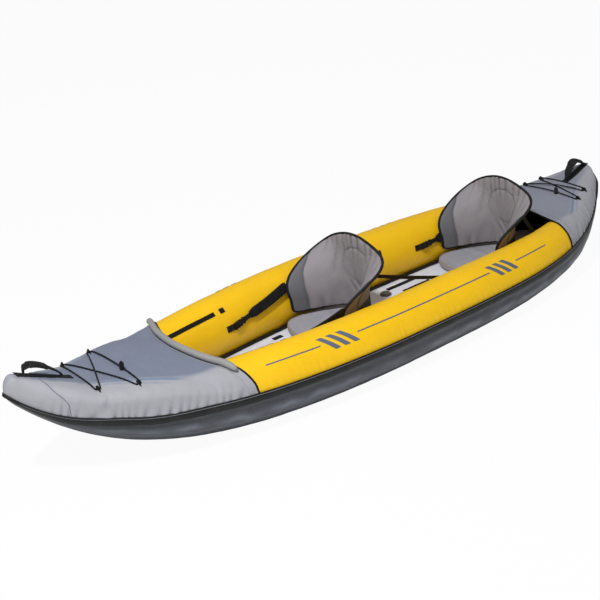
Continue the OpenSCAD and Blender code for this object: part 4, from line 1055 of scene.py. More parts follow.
def airChambers():
    count, around = chamberLook["stations"], chamberLook["around"]
    xs = [chamberLook["aft"] + (chamberLook["fore"] - chamberLook["aft"]) * k / count for k in range(count + 1)]
    ends = chamberLook["ends"]
    rows = []
    low, high = (tubePt(chamberLook["valveX"], ang, -3) for ang in chamberLook["valveAngles"])
    mid = (low + high) / 2
    axis = Vector(chamberLook["valveAxis"])

    def ring(x, q, dx):
        c = Vector((x + dx, tubeC(x), tubeH(x)))
        out = []
        for k in range(around):
            p = tubePt(x, 360 * k / around, chamberLook["inset"])
            p = c + (Vector((x + dx, p.y, p.z)) - c) * q
            near = p - mid
            rise = near.dot(axis)
            if (near - axis * rise).length < chamberLook["valveFlat"] and near.length < 80:
                p -= axis * (rise + 0.4)
            out.append(p)
        return out

    rows += [ring(xs[0], q, -e) for q, e in ends]
    rows += [ring(x, 1 + 0.004 * wobble(x / 40, 3), 0) for x in xs]
    rows += [ring(xs[-1], q, e) for q, e in reversed(ends)]
    for side, turn in sides:
        use = mirrorRows(rows, turn)
        gridPiece("airChamber" + side, use, "chamber_vinyl", closed=True, caps=True, away=insideTube(0, turn),
                  replaced=(side.lower() + "_air_chamber",))


# plain slanted stripes with a pinstripe between them, in place of the print
printLook = {"lift": 0.9, "width": 27.0, "low": 41.0, "high": 70.0, "slant": 58.0,
             "stripes": (330, 378, 426, -652, -604, -556), "lineLow": 54.0, "lineHigh": 56.4,
             "lines": ((-900, -660), (-474, 322), (508, 760))}


def tubePrint():
    blocks = []

    def inkAt(x, ang):
        return coverPt(x, ang, printLook["lift"])

    for x0 in printLook["stripes"]:
        rows = []
        for i in range(25):
            v = i / 24
            ang = printLook["low"] + (printLook["high"] - printLook["low"]) * v
            rows.append([inkAt(x0 + printLook["slant"] * v + printLook["width"] * u / 5, ang) for u in range(6)])
        blocks.append(gridParts(rows))
    for xa, xb in printLook["lines"]:
        count = int((xb - xa) / 6)
        rows = []
        for i in range(3):
            ang = printLook["lineLow"] + (printLook["lineHigh"] - printLook["lineLow"]) * i / 2
            rows.append([inkAt(xa + (xb - xa) * u / count, ang) for u in range(count + 1)])
        blocks.append(gridParts(rows))
    for side, turn in sides:
        joinParts("tubePrint" + side, mirrorBlocks(blocks, turn), "tube_print", slot="yellow_cloth",
                  away=insideTube(-100, turn))


tubeCovers()
airChambers()
tubePrint()
print("tubes made")


# inflated floor with sewn channels, and the black strips along its edges; they are black welts and also paint the
# shade in the gap between floor and tube
floorLook = {"x0": xAft + 365, "x1": xBow - 545, "stripW": 22.0, "beams": 5, "dip": 2.2, "webT": 2.0,
             "stations": 110, "leastT": 24.0, "valve": (-300.0, -0.53 * wellHalf, 0)}


def floorHalf(x, z):
    s = (z - tubeH(x)) / (hull["tubeRatio"] * tubeA(x))
    return tubeC(x) - tubeA(x) * math.sqrt(max(0, 1 - s * s)) - 4


def floorLow(x):
    return bottomZ(x, hullIn) + 1.2


def floorUp(x):
    return max(hull["floorTop"], floorLow(x) + floorLook["leastT"])


def airFloor():
    count = floorLook["stations"]
    rows = []
    hole = Vector(floorLook["valve"])
    for i in range(count + 1):
        x = floorLook["x0"] + (floorLook["x1"] - floorLook["x0"]) * i / count
        q = 0.62 + 0.38 * math.sqrt(max(0, 1 - (1 - min(1, min(i, count - i) / 4)) ** 2))
        zl = floorLow(x)
        h = (floorUp(x) - zl) * q
        b = floorHalf(x, zl + h) * q
        bl = min(b, floorHalf(x, zl + 12)) - floorLook["stripW"] * 0.5
        side = [(bl * 0.6, zl), (bl * 0.92, zl), (bl, zl + h * 0.3), (b, zl + h * 0.66),
                (b * 0.99, zl + h * 0.82), (b * 0.96, zl + h * 0.93)]
        for k in range(1, 23):
            u = 0.96 * (1 - k / 22)
            groove = bell((abs(u) * floorLook["beams"]) % 1 - 0.5, 0.13)
            near, far = ((Vector((x, q * b * u, 0)) - hole).length for q in (1, -1))
            calm = 1 - bell(near, 60) - bell(far, 60)
            side.append((b * u, zl + h - floorLook["dip"] * groove * max(0, calm) + 0.5 * wobble(x / 60, u * 6, 2)
                         - 0.07 * h * smooth((u - 0.78) / 0.2)))
        half = [Vector((x, y, z)) for y, z in side]
        rows.append(half + [mirrorY(p) for p in reversed(half[:-1])])
    floor = gridPiece("inflatedFloor", rows, "floor_vinyl", closed=True, caps=True, away=(0, 0, 40),
                      replaced=("air_floor",))


def bandParts(path, ups, w, t):
    return sweepParts(path, ups, webProf(w, t))


# black welts along the floor's edges, which also paint the shade in the gap between floor and tube
def floorStrips():
    for side, flip in (("Port", 1), ("Starboard", -1)):
        path = []
        for k in range(121):
            x = floorLook["x0"] + (floorLook["x1"] - floorLook["x0"]) * (2 + 18 * k / 120) / 22
            y = floorHalf(x, floorUp(x) + 5) - floorLook["stripW"] * 0.44
            path.append(Vector((x, flip * y, floorUp(x) + 1.6 + 0.4 * wobble(x / 50, flip))))
        up = Vector((0, -flip * sind(12), cosd(12)))
        strip = bandParts(path, up, floorLook["stripW"], floorLook["webT"])
        joinParts("floorStrip" + side, [strip], "black_webbing", replaced=("floor_edge_strips",))


gripLook = {"width": 25.0, "thick": 2.0,
            "tapes": ((317.0, 137.0, 50.0), (-558.0, 65.0, 175.0), (-515.0, 137.0, 175.0))}


def gripStrips():
    blocks = []
    for x0, y, length in gripLook["tapes"]:
        for flip in (-1, 1):
            path = [Vector((x0 + length * k / 12, flip * y, hull["floorTop"] + 1.5)) for k in range(13)]
            blocks.append(bandParts(path, Vector((0, 0, 1)), gripLook["width"], gripLook["thick"]))
    joinParts("floorGripTapes", blocks, "hook_tape", replaced=("floor_grip_strips",))


# places on the tubes where tabs and straps are sewn; the cover's section has twenty flat faces
def faceEdge(x, i):
    return tubePt(x, seamAng(x) + faceStep * i, 0)


def faceMid(x, i):
    return (faceEdge(x, i) + faceEdge(x, i + 1)) / 2


def faceUp(x, i):
    return (faceMid(x - 20, i) - faceMid(x + 20, i)).cross(faceEdge(x, i + 1) - faceEdge(x, i)).normalized()


def onFace(x, i, off):
    return faceMid(x, i) + faceUp(x, i) * off


def onCover(x, i, off):
    # same place, but on the rounded cloth
    up = faceUp(x, i)
    return coverPt(x, seamAng(x) + faceStep * (i + 0.5)) + up * off


seat = {"x": -65.0, "pitch": 985.0, "padH": 44.0, "padLen": 370.0, "padHalf": wellHalf - 15.7,
        "backH": 365.0, "lowW": wellHalf - 18.7, "flare": 43.0, "reach": 272.0, "lean": 42.0,
        "thick": 30.0, "shoulder": 0.66, "floorGap": 0.5, "baseT": 4.0, "backGap": 14.0}
tabLook = {"closureX": hull["cockpitFore"] - 328, "strapTabs": (seat["x"] + 614, seat["x"] - seat["pitch"] + 415),
           "stayTabs": (seat["x"] - 307, seat["x"] - seat["pitch"] - 2), "strapFace": 8, "stayFace": 7,
           "closureFace": 6, "closureBand": (20, 2.0, 40), "smallBand": (24, 2.4, 6), "strapBand": (30, 2.4, 8),
           "stayBand": (26, 2.2, 6)}   # bands: width, thickness, steps


def faceBand(x0, x1, i, w, t, steps):
    path = [onCover(x0 + (x1 - x0) * k / steps, i, t / 2 + 0.3) for k in range(steps + 1)]
    return bandParts(path, [faceUp(p.x, i) for p in path], w, t)


def tubeTabs():
    closure, tabs, marks = [], [], []
    x0 = tabLook["closureX"]
    closure.append(faceBand(x0, foreEdge(190) - 20, tabLook["closureFace"], *tabLook["closureBand"]))
    tabs.append(faceBand(x0 - 56, x0 - 30, tabLook["closureFace"], *tabLook["smallBand"]))
    for x in tabLook["strapTabs"]:
        tabs.append(faceBand(x - 4, x + 36, tabLook["strapFace"], *tabLook["strapBand"]))
        for dx in (2, 30):
            p = onCover(x + dx, tabLook["strapFace"], 2.7)
            up = faceUp(x, tabLook["strapFace"])
            across = up.cross(Vector((1, 0, 0))).normalized()
            marks += stitchParts([p - across * 12, p + across * 12], up, 3.2, 2.4, 0.8, 0.5)
    for x in tabLook["stayTabs"]:
        tabs.append(faceBand(x - 14, x + 14, tabLook["stayFace"], *tabLook["stayBand"]))
    for side, turn in sides:
        for name, blocks, finish, node in (("tubeClosure", closure, "hook_tape", "tube_closure_strips"),
                                           ("tubeTabs", tabs, "black_webbing", "tube_tabs"),
                                           ("tubeTabStitches", marks, "dark_thread", None)):
            use = mirrorBlocks(blocks, turn)
            joinParts(name + side, use, finish, slot="black_webbing" if finish == "dark_thread" else None,
                      replaced=(node,) if node else ())


airFloor()
floorStrips()
gripStrips()
tubeTabs()
print("floor and tabs made")


# deck cords through their loops; the toggles stay as built
cordLook = {"r": 3.0, "lift": 4.7, "sides": 10, "loopW": 14.0, "webT": 2.0}


def loopAt(x, q):
    return (x, q * seamY(x, hullOut))


foreLoops = (loopAt(xBow - 306, 0.694), loopAt(xBow - 450, 0.725))
aftLoops = (loopAt(xAft + 209, 0.671), loopAt(xAft + 299, 0.6625))


def cordRun(a, b, hump, fore):
    out = []
    for i in range(1, 8):
        s = i / 8
        x, y = a[0] + (b[0] - a[0]) * s, a[1] + (b[1] - a[1]) * s
        out.append(onDeck(x, y, cordLook["lift"] + hump * sind(180 * s), fore))
    return out


def cordTurn(a, s, d, fore):
    return [onDeck(a[0] + d * q * 11, s * (a[1] - abs(q) * 3), cordLook["lift"], fore)
            for q in ((-1, 0, 1) if s > 0 else (1, 0, -1))]


def cordPath(loops, d, fore):
    f, r = loops
    path = cordTurn(f, 1, d, fore) + cordRun((f[0] + d * 11, f[1] - 3), (f[0] + d * 11, 3 - f[1]), 1, fore)
    path += cordTurn(f, -1, d, fore) + cordRun((f[0] - d * 11, 3 - f[1]), (r[0] + d * 11, r[1] - 3), 1, fore)
    path += cordTurn(r, 1, d, fore)[::-1] + cordRun((r[0] - d * 11, r[1] - 3), (r[0] - d * 11, 3 - r[1]), 6, fore)
    path += cordTurn(r, -1, d, fore)[::-1] + cordRun((r[0] + d * 11, 3 - r[1]), (f[0] - d * 11, f[1] - 3), 9, fore)
    return path


def cordLoop(x, y, fore):
    c = onDeck(x, y, cordLook["lift"], fore)
    u = deckUp(x, y, fore)
    s = u.cross(Vector((1, 0, 0))).normalized()
    along = s.cross(u)
    r = cordLook["r"] + 2.8 + cordLook["webT"] / 2
    low = -cordLook["lift"] + cordLook["webT"] / 2 + 0.6
    flat = [(-r - 10, low), (-r - 5, low), (-r - 1, low + 1)]
    arch = [(r * cosd(a), r * sind(a)) for a in range(170, 0, -16)]
    prof = flat + arch + [(-a, b) for a, b in reversed(flat)]
    path = [c + s * a + u * b for a, b in prof]
    return bandParts(path, along, cordLook["loopW"], cordLook["webT"])


def deckCords():
    for label, loops, d, fore in (("bow", foreLoops, 1, True), ("stern", aftLoops, -1, False)):
        path = curveThrough(cordPath(loops, d, fore), 4, True)
        tubePiece(label + "Cord", path, cordLook["r"], "cord", cordLook["sides"], closed=True,
                  replaced=(label + "_bungee",))
    blocks = [cordLoop(x, s * y, True) for x, y in foreLoops for s in (-1, 1)]
    blocks += [cordLoop(x, s * y, False) for x, y in aftLoops for s in (-1, 1)]
    joinParts("cordLoops", blocks, "black_webbing", replaced=("bungee_loops",))


deckCords()
for lockName in ("bow_lock_body", "stern_lock_body", "bow_lock_button", "stern_lock_button"):
    bevelNode(lockName, 0.8, "black_plastic")
print("deck cords made")


# carry handles: sewn base, arched strap and grip
handleLook = {"strapR": 5.0, "baseT": 2.4, "baseLift": 1.2, "webW": 36.0, "strapW": 44.0, "strapT": 6.0,
              "gripW": 50.0, "gripT": 17.0, "gripFrom": 14, "gripTo": 45,
              "endW": 14.0, "endT": 7.5, "endRun": 9, "stitchAt": (0.06, 0.12, 0.88, 0.94), "stitchHalf": 11.0,
              "bow": (xBow - 84, xBow - 231, 38.0), "stern": (xAft + 33, xAft + 181, 62.0),
              "bowBase": (xBow - 55, xBow - 273), "sternBase": (xAft + 19, xAft + 195)}


def handleEnd(x, fore):
    return onDeck(x, 0, handleLook["baseLift"] + handleLook["baseT"] + handleLook["strapR"] + 0.4, fore)


def handlePath(fore, count):
    x0, x1, h = handleLook["bow" if fore else "stern"]
    a, b = handleEnd(x0, fore), handleEnd(x1, fore)
    path = []
    for i in range(count + 1):
        s = (i / count) ** (1.4 if fore else 1.0)
        rise = max(0, sind(180 * s ** (0.65 if fore else 1.3))) ** (0.6 if fore else 1)
        path.append(a.lerp(b, s) + Vector((0, 0, h * rise)))
    return path


def handles():
    for label, fore in (("bow", True), ("stern", False)):
        xa, xb = handleLook[label + "Base"]
        base = [onDeck(xa + (xb - xa) * k / 40, 0, handleLook["baseT"] / 2 + 0.5, fore) for k in range(41)]
        ups = [deckUp(p.x, 0, fore) for p in base]
        baseParts = bandParts(base, ups, handleLook["webW"], handleLook["baseT"])
        joinParts(label + "HandleBase", [baseParts], "black_webbing", replaced=(label + "_handle_base",))
        marks = []
        reach = Vector((0, handleLook["stitchHalf"], 0))
        for q in handleLook["stitchAt"]:
            x = xa + (xb - xa) * q
            p = onDeck(x, 0, handleLook["baseT"] + 0.6, fore)
            marks += stitchParts([p - reach, p + reach], deckUp(x, 0, fore), 3.0, 2.3, 0.8, 0.5)
        joinParts(label + "HandleStitches", marks, "dark_thread", slot="black_webbing")
        path = handlePath(fore, 60)
        side = Vector((0, 1, 0))
        flats = []
        for i, p in enumerate(path):
            t = pathDir(path, i, False)
            flats.append(side.cross(t) if side.cross(t).z > 0 else t.cross(side))

        def strapProf(i):
            full = smooth(min(i, len(path) - 1 - i) / handleLook["endRun"])
            w, t = handleLook["endW"], handleLook["endT"]
            return webProf(w + (handleLook["strapW"] - w) * full, t + (handleLook["strapT"] - t) * full)

        joinParts(label + "HandleStrap", [sweepParts(path, flats, strapProf)], "black_webbing",
                  body=label + "_handle", replaced=(label + "_handle_strap",))
        first, last = handleLook["gripFrom"], handleLook["gripTo"]
        grip = path[first:last]
        ridges = len(grip)

        def gripProf(i):
            tail = smooth((min(i, ridges - 1 - i) + 0.4) / 3)
            rib = 0.35 * math.sin(i * 1.9)
            w = handleLook["gripW"] / 2 * (0.86 + 0.14 * tail)
            h = handleLook["gripT"] / 2 * (0.5 + 0.5 * tail) + rib
            return boxProf(w, h, 0.6, 0.7)

        sleeve = joinParts(label + "HandleGrip", [sweepParts(grip, flats[first:last], gripProf)], "grip_rubber",
                           body=label + "_handle", replaced=(label + "_handle_sleeve",))


handles()
print("handles made")


# padded cloth: a shell pinned at its seams is blown up a little and kept
swell = {"pressure": 4.0, "frames": 20, "mass": 0.2, "stretch": 14.0, "bend": 0.8}


def blowUp(points, faces, pinned, cap):
    mesh = bpy.data.meshes.new("blowUpShell")
    mesh.from_pydata([p * mm for p in points], [], faces)
    shell = bpy.data.objects.new("blowUpShell", mesh)
    bpy.context.scene.collection.objects.link(shell)
    pins = shell.vertex_groups.new(name="pins")
    pins.add(pinned, 1.0, "REPLACE")
    cloth = shell.modifiers.new("cloth", "CLOTH")
    rules = cloth.settings
    rules.quality = 6
    rules.mass = swell["mass"]
    rules.tension_stiffness = rules.compression_stiffness = swell["stretch"]
    rules.shear_stiffness = swell["stretch"] * 0.4
    rules.bending_stiffness = swell["bend"]
    rules.use_pressure = True
    rules.uniform_pressure_force = swell["pressure"]
    rules.vertex_group_mass = "pins"
    rules.effector_weights.gravity = 0.0
    cloth.collision_settings.use_collision = False
    cloth.collision_settings.use_self_collision = False
    scene = bpy.context.scene
    for step in range(1, swell["frames"] + 1):
        scene.frame_set(step)
    done = shell.evaluated_get(bpy.context.evaluated_depsgraph_get()).to_mesh()
    moved = [v.co / mm for v in done.vertices]
    scene.frame_set(1)
    bpy.data.objects.remove(shell)
    bpy.data.meshes.remove(mesh)
    out = []
    for a, b in zip(points, moved):
        d = b - a
        out.append(a + d * min(1, cap / max(1e-6, d.length)))
    return out


# seat backs: wrapped cushion with a round stitched panel, smooth wings and gathered edges
backLook = {"inner": 61, "outer": (0.05, 0.2, 0.4, 0.6, 0.8, 1.0), "rows": 60, "circle": (14.0, 212.0, 88.0),
            "gatherTop": 8.0, "gatherLow": 6.5, "cap": 11.0, "bindR": 6.5, "weltR": 1.6,
            "start": 0.78, "topV": 0.985, "panelRows": 25, "panelCols": 41}
seatRows = (("front", 0.0), ("rear", -seat["pitch"]))
backZ0 = hull["floorTop"] + seat["floorGap"] + seat["baseT"] + seat["padH"] + seat["backGap"]


def backW(v):
    low = seat["lowW"]
    high = low + seat["flare"]
    if v < seat["shoulder"]:
        return low + (high - low) * smooth((v - 0.17) / 0.49)
    return high * (1 - min(0.998, (v - seat["shoulder"]) / (1 - seat["shoulder"])) ** 1.8) ** 0.7


def backPt(s, v):
    y = s * backW(v)
    reach = seat["reach"] * smooth((0.87 - v) / 0.68)
    return Vector((seat["x"] + seat["lean"] * v + reach * (abs(y) / seat["lowW"]) ** 2.2, y,
                   backZ0 + seat["backH"] * v))


def backN(s, v):
    q, w, d = clamp(s, -0.96, 0.96), clamp(v, 0.03, 0.93), 0.02
    return (backPt(q + d, w) - backPt(q - d, w)).cross(backPt(q, w + d) - backPt(q, w - d)).normalized()


def puff(s, v):
    rim = max(0, 1 - abs(s) ** 3) ** 0.5 * sind(180 * min(0.985, 0.03 + v * 0.955)) ** 0.4
    return seat["thick"] / 2 * (0.3 + 0.7 * rim)


def behind(s, v, off):
    return backPt(s, v) - backN(s, v) * (puff(s, v) + off)


def edgeOut(v, gap):
    q, d = backPt(1, v), 0.02
    t = (backPt(1, v + d) - backPt(1, v - d)).normalized()
    w = q - backPt(0.85, v)
    w -= t * w.dot(t)
    return q + w.normalized() * gap


def wingSeam(v):
    if v < 0.4:
        return 0.86
    if v < 0.58:
        return 0.86 + 0.054 * (v - 0.4) / 0.18
    return 0.914 + 0.086 * min(1, (v - 0.58) / 0.10)


def creaseDip(y, z, a, b, depth, width):
    ax, az = b[0] - a[0], b[1] - a[1]
    t = clamp(((y - a[0]) * ax + (z - a[1]) * az) / (ax * ax + az * az))
    d = math.hypot(y - a[0] - ax * t, z - a[1] - az * t)
    side = 1 if (y - a[0]) * az - (z - a[1]) * ax > 0 else -1
    fade = smooth(t / 0.25) * smooth((1.02 - t) / 0.2)
    return fade * depth * (-bell(d, width) + 0.7 * bell(d * side - 2.2 * width, width * 1.6))


# creases of the cushion: both ends across and up, depth and width
backCreases = (((-96, 262), (52, 26), 4.4, 7.0), ((-60, 150), (8, 20), 3.0, 8.0),
               ((-126, 300), (-104, 150), 3.0, 8.0), ((118, 150), (132, 30), 3.0, 8.0),
               ((-52, 352), (-66, 262), 3.4, 7.0))


def backDetail(s, v):
    y, z = s * backW(v), seat["backH"] * v
    wing = (abs(s) - wingSeam(v)) * backW(v)
    inner = smooth(-wing / 18)
    cy, cz, cr = backLook["circle"]
    ring = math.hypot(y - cy, z - cz) - cr
    lift = -3.6 * bell(ring, 3.6) - 3.2 * bell(wing, 4.0)
    lean = y * (1 - 0.25 * (v - 0.6))
    top = backLook["gatherTop"] * smooth((v - 0.52) / 0.36) * smooth((1.0 - abs(s)) / 0.1)
    fold = abs(math.sin(lean / 11 + 1.6 * wobble(lean / 60, 1.5))) ** 0.8 * 1.7 - 1
    fold *= 0.75 + 0.6 * wobble(lean / 24, 7.7)
    low = backLook["gatherLow"] * smooth((0.24 - v) / 0.2)
    foldLow = abs(math.sin(y / 9 + 1.6 * wobble(y / 50, 5.5))) ** 0.8 * 1.7 - 1
    foldLow *= 0.6 + 0.7 * wobble(y / 21, 3.3)
    lift += inner * (top * fold + low * foldLow)
    away = smooth((ring + 6) / 18)
    lift += inner * away * sum(creaseDip(y, z, *crease) for crease in backCreases)
    return lift + 1.1 * wobble(y / 55, z / 70, 4.0) + 0.4 * wobble(y / 19, z / 24, 8.0)


def rowAcross(v):
    # even steps to each wing seam, then out to the bound edge
    seam = min(wingSeam(v), 0.97)
    count = backLook["inner"]
    inner = [seam * (1.2 * u - 0.2 * u ** 3) for u in (-1 + 2 * k / (count - 1) for k in range(count))]
    outer = [seam + (1 - seam) * q for q in backLook["outer"]]
    return [-q for q in reversed(outer)] + inner + outer


def rowV(i):
    return backLook["topV"] * i / (backLook["rows"] - 1)


def backShell():
    wide = len(rowAcross(0))
    edge = len(backLook["outer"])
    m = 2 * wide
    points, where = [], []
    cy, cz, cr = backLook["circle"]
    for i in range(backLook["rows"]):
        v = rowV(i)
        across = rowAcross(v)
        for j, side in [(j, 1) for j in range(wide)] + [(j, -1) for j in reversed(range(wide))]:
            q = across[j]
            t = puff(q, v) * (backLook["start"] if side > 0 else 0.94)
            points.append(backPt(q, v) + backN(q, v) * (side * t))
            sewn = j in (edge, wide - 1 - edge) and wingSeam(v) < 0.97
            sewn = sewn or abs(math.hypot(q * backW(v) - cy, seat["backH"] * v - cz) - cr) < 3.4
            winged = (j < edge or j > wide - 1 - edge) and wingSeam(v) < 0.97
            where.append((q, v, side, sewn, winged))
    rows = [points[i * m:(i + 1) * m] for i in range(backLook["rows"])]
    _, faces, uvs = gridParts(rows, True)
    for i, turn in ((0, False), (backLook["rows"] - 1, True)):
        for j in range(wide - 1):
            quad = (i * m + j, i * m + j + 1, i * m + m - 2 - j, i * m + m - 1 - j)
            faces.append(quad[::-1] if turn else quad)
            uvs += [(0.01 * j, 0), (0.01 * j + 0.01, 0), (0.01 * j + 0.01, 0.01), (0.01 * j, 0.01)]
    pinned = [i for i, (q, v, side, sewn, _) in enumerate(where)
              if sewn or abs(q) > 0.985 or v < 0.012 or v > 0.97 or side < 0]
    moved = blowUp(points, faces, pinned, backLook["cap"])
    out = []
    for p, (q, v, side, _, _) in zip(moved, where):
        if side > 0:
            fade = smooth((1 - abs(q)) / 0.03) * smooth(v / 0.02) * smooth((backLook["topV"] - v) / 0.02)
            p = p + backN(q, v) * backDetail(q, v) * fade
        out.append(p)
    wing = [1.0 if side > 0 and winged else 0.0 for _, _, side, _, winged in where]
    # painted shade in the grooves, creases and gathers of the cushion's front
    paintedShade = [0.8 * clamp((-0.6 - backDetail(q, v)) / 6) if side > 0 else 0.0 for q, v, side, _, _ in where]
    rear = [1.0 if side < 0 else 0.0 for _, _, side, _, _ in where]
    return out, faces, uvs, wing, rear, paintedShade, m


def frontAt(points, m, q, v):
    # place on the finished front of the shell
    fi = clamp(v / backLook["topV"]) * (backLook["rows"] - 1)
    i = min(int(fi), backLook["rows"] - 2)
    pair = []
    for r in (i, i + 1):
        line = rowAcross(rowV(r))
        j = min(max(bisect.bisect_right(line, q) - 1, 0), len(line) - 2)
        pair.append(points[r * m + j].lerp(points[r * m + j + 1], clamp((q - line[j]) / (line[j + 1] - line[j]))))
    return pair[0].lerp(pair[1], fi - i)


def soften(obj):
    fine = obj.modifiers.new("softer", "SUBSURF")
    fine.levels = fine.render_levels = 1


def shifted(points, dx):
    return [p + Vector((dx, 0, 0)) for p in points]


def rimPath():
    path = [backPt(1, 0.97 * k / 40) for k in range(41)]
    path += [backPt(s, 0.986) for s in (0.95, 0.5, 0, -0.5, -0.95)]
    path += [backPt(-1, 0.97 * (40 - k) / 40) for k in range(41)]
    path += [backPt(-1 + 2 * k / 40, 0.0) for k in range(1, 40)]
    for _ in range(3):
        n = len(path)
        path = [(path[(i - 1) % n] + path[i] * 2 + path[(i + 1) % n]) / 4 for i in range(n)]
    return path


def seatBacks():
    points, faces, uvs, wing, rear, paintedShade, m = backShell()
    rim = rimPath()
    middle = sum(rim, Vector()) / len(rim)
    circle, circleUps, seams = [], [], []
    cy, cz, cr = backLook["circle"]
    for k in range(121):
        v = (cz + (cr + 4.5) * sind(3 * k)) / seat["backH"]
        q = (cy + (cr + 4.5) * cosd(3 * k)) / backW(v)
        circle.append(frontAt(points, m, q, v) + backN(q, v) * 0.8)
        circleUps.append(backN(q, v))
    for flip in (1, -1):
        line = [(flip * wingSeam(v), v) for v in (0.02 + 0.61 * k / 60 for k in range(61))]
        seams.append([frontAt(points, m, q, v) + backN(q, v) * 1.2 for q, v in line])
    for label, dx in seatRows:
        body = label + "_seat_back"
        cushion = toMesh(label + "BackCushion", shifted(points, dx), faces, uvs, "seat_back_cloth",
                         away=tuple(middle + Vector((dx - 20, 0, 0))), body=body,
                         replaced=(label + "_back_cushion",))
        for mark, values in (("wingPanel", wing), ("rearSide", rear), ("backPaintedFoldShade", paintedShade)):
            setMark(cushion, mark, values)
        soften(cushion)
        tubePiece(label + "BackBinding", shifted(rim, dx), backLook["bindR"], "black_binding", 12, closed=True,
                  ups=Vector((0.97, 0, 0.23)), body=body, replaced=(label + "_back_binding",))
        blocks = stitchParts(shifted(circle, dx), circleUps, 7.5, 4.8, 1.1, 0.9)
        joinParts(label + "CircleStitches", blocks, "back_seam", body=body, slot="seat_back_cloth")
        for side, line in zip(("Port", "Starboard"), seams):
            tubePiece(label + "WingWelt" + side, shifted(line, dx), backLook["weltR"], "back_seam", 8, tail=3,
                      body=body, slot="seat_back_cloth")
        cols = backLook["panelCols"]
        across = [-0.8 + 1.6 * k / (cols - 1) for k in range(cols)]
        heights = [0.05 + 0.68 * i / (backLook["panelRows"] - 1) for i in range(backLook["panelRows"])]
        panelRows = [shifted([behind(s, v, 3.1 + 0.7 * wobble(s * 5, v * 7, 3)) for s in across], dx)
                     for v in heights]
        panel = gridPiece(label + "BackPanel", panelRows, "back_panel_cloth",
                          away=tuple(middle + Vector((dx + 400, 0, 0))), thick=2.0,
                          body=body, replaced=(label + "_back_panel",))
        setMark(panel, "lowPocket", [smooth((0.27 - v) * 30 + 0.5) for v in heights for _ in across])
        trim = shifted([behind(s, 0.73, 3.0) for s in across], dx)
        tubePiece(label + "BackPanelTrim", trim, 2.6, "black_binding", 8, body=body)


seatBacks()
print("seat backs made")


# seat pads: boxed cushions with a piped edge and a sewn cross channel
padLook = {"around": 132, "rings": 16, "cap": 8.0, "pipeR": 2.1, "channel": 0.36, "from": 6.0,
           "core": (98.0, 284.0), "seamGap": 0.4, "topRoom": 6.0}
padZ0 = hull["floorTop"] + seat["floorGap"] + seat["baseT"] + padLook["seamGap"]


def padHalf(u):
    front = math.sqrt(max(0, 1 - ((u - 0.72) / 0.28) ** 2.6)) if u > 0.72 else 1.0
    back = 0.86 + 0.14 * smooth(u / 0.07)
    waist = 1 - 0.02 * sind(180 * clamp(u / 0.8))
    return seat["padHalf"] * (0.76 + 0.24 * min(1, u * 1.6)) * front * back * waist


def padOutline():
    side = [Vector((seat["x"] + padLook["from"] + seat["padLen"] * u, padHalf(u), 0)) for u in
            [0.5 - 0.5 * cosd(180 * k / 90) for k in range(91)]]
    loop = side + [mirrorY(p) for p in reversed(side[:-1])]
    loop = dense(loop, 4.0, True)
    total = sum((a - b).length for a, b in zip(loop, loop[1:] + loop[:1]))
    step, out, walk, nextAt = total / padLook["around"], [], 0.0, 0.0
    for a, b in zip(loop, loop[1:] + loop[:1]):
        span = (b - a).length
        while span > 0 and nextAt <= walk + span and len(out) < padLook["around"]:
            out.append(a.lerp(b, (nextAt - walk) / span))
            nextAt += step
        walk += span
    for _ in range(2):
        n = len(out)
        out = [(out[i - 1] + out[i] * 2 + out[(i + 1) % n]) / 4 for i in range(n)]
    return out


def padInset(p, c):
    low, high = (seat["x"] + d for d in padLook["core"])
    core = Vector((clamp(p.x, low, high), 0, 0))
    return core.lerp(Vector((p.x, p.y, 0)), c)


def padShell():
    outline = padOutline()
    high = seat["padH"] - seat["baseT"] - padLook["seamGap"]
    layers = [(0.55, 0.0), (0.86, 0.0), (0.93, 0.03), (0.975, 0.18), (0.992, 0.42), (0.99, 0.66), (0.97, 0.82),
              (0.95, 0.875)]
    edgeLayer = len(layers) - 1
    for k in range(1, padLook["rings"] + 1):
        c = 0.95 * (1 - k / (padLook["rings"] + 0.6))
        layers.append((c, 0.875 + 0.125 * (1 - (c / 0.95) ** 2) ** 0.8))
    rows, where = [], []
    for index, (c, h) in enumerate(layers):
        row = []
        for p in outline:
            q = padInset(p, c)
            u = (q.x - seat["x"] - padLook["from"]) / seat["padLen"]
            dip = 3.2 * bell((u - padLook["channel"]) * seat["padLen"], 8) if index > edgeLayer else 0
            row.append(Vector((q.x, q.y, padZ0 + high * h - dip)))
            where.append((index, u))
        rows.append(row)
    points, faces, uvs = gridParts(rows, True, True)
    m = len(outline)
    pinned = [i for i, (index, u) in enumerate(where) if index <= 2 or index == edgeLayer
              or (index > edgeLayer and abs(u - padLook["channel"]) < 0.008)]
    pinned.append(len(points) - 2)
    moved = blowUp(points, faces, pinned, padLook["cap"])
    top = backZ0 - seat["backGap"] + padLook["topRoom"]
    out = []
    for i, p in enumerate(moved):
        if i < len(where) and where[i][0] > edgeLayer:
            p = p + Vector((0, 0, 0.9 * wobble(p.x / 40, p.y / 40, 5) + 0.5 * wobble(p.x / 17, p.y / 17, 2)))
        out.append(Vector((p.x, p.y, min(p.z, top))))
    side = [1.0 if i < len(where) and where[i][0] < edgeLayer else 0.0 for i in range(len(points))]
    edge = out[edgeLayer * m:(edgeLayer + 1) * m]
    return out, faces, uvs, side, edge, outline


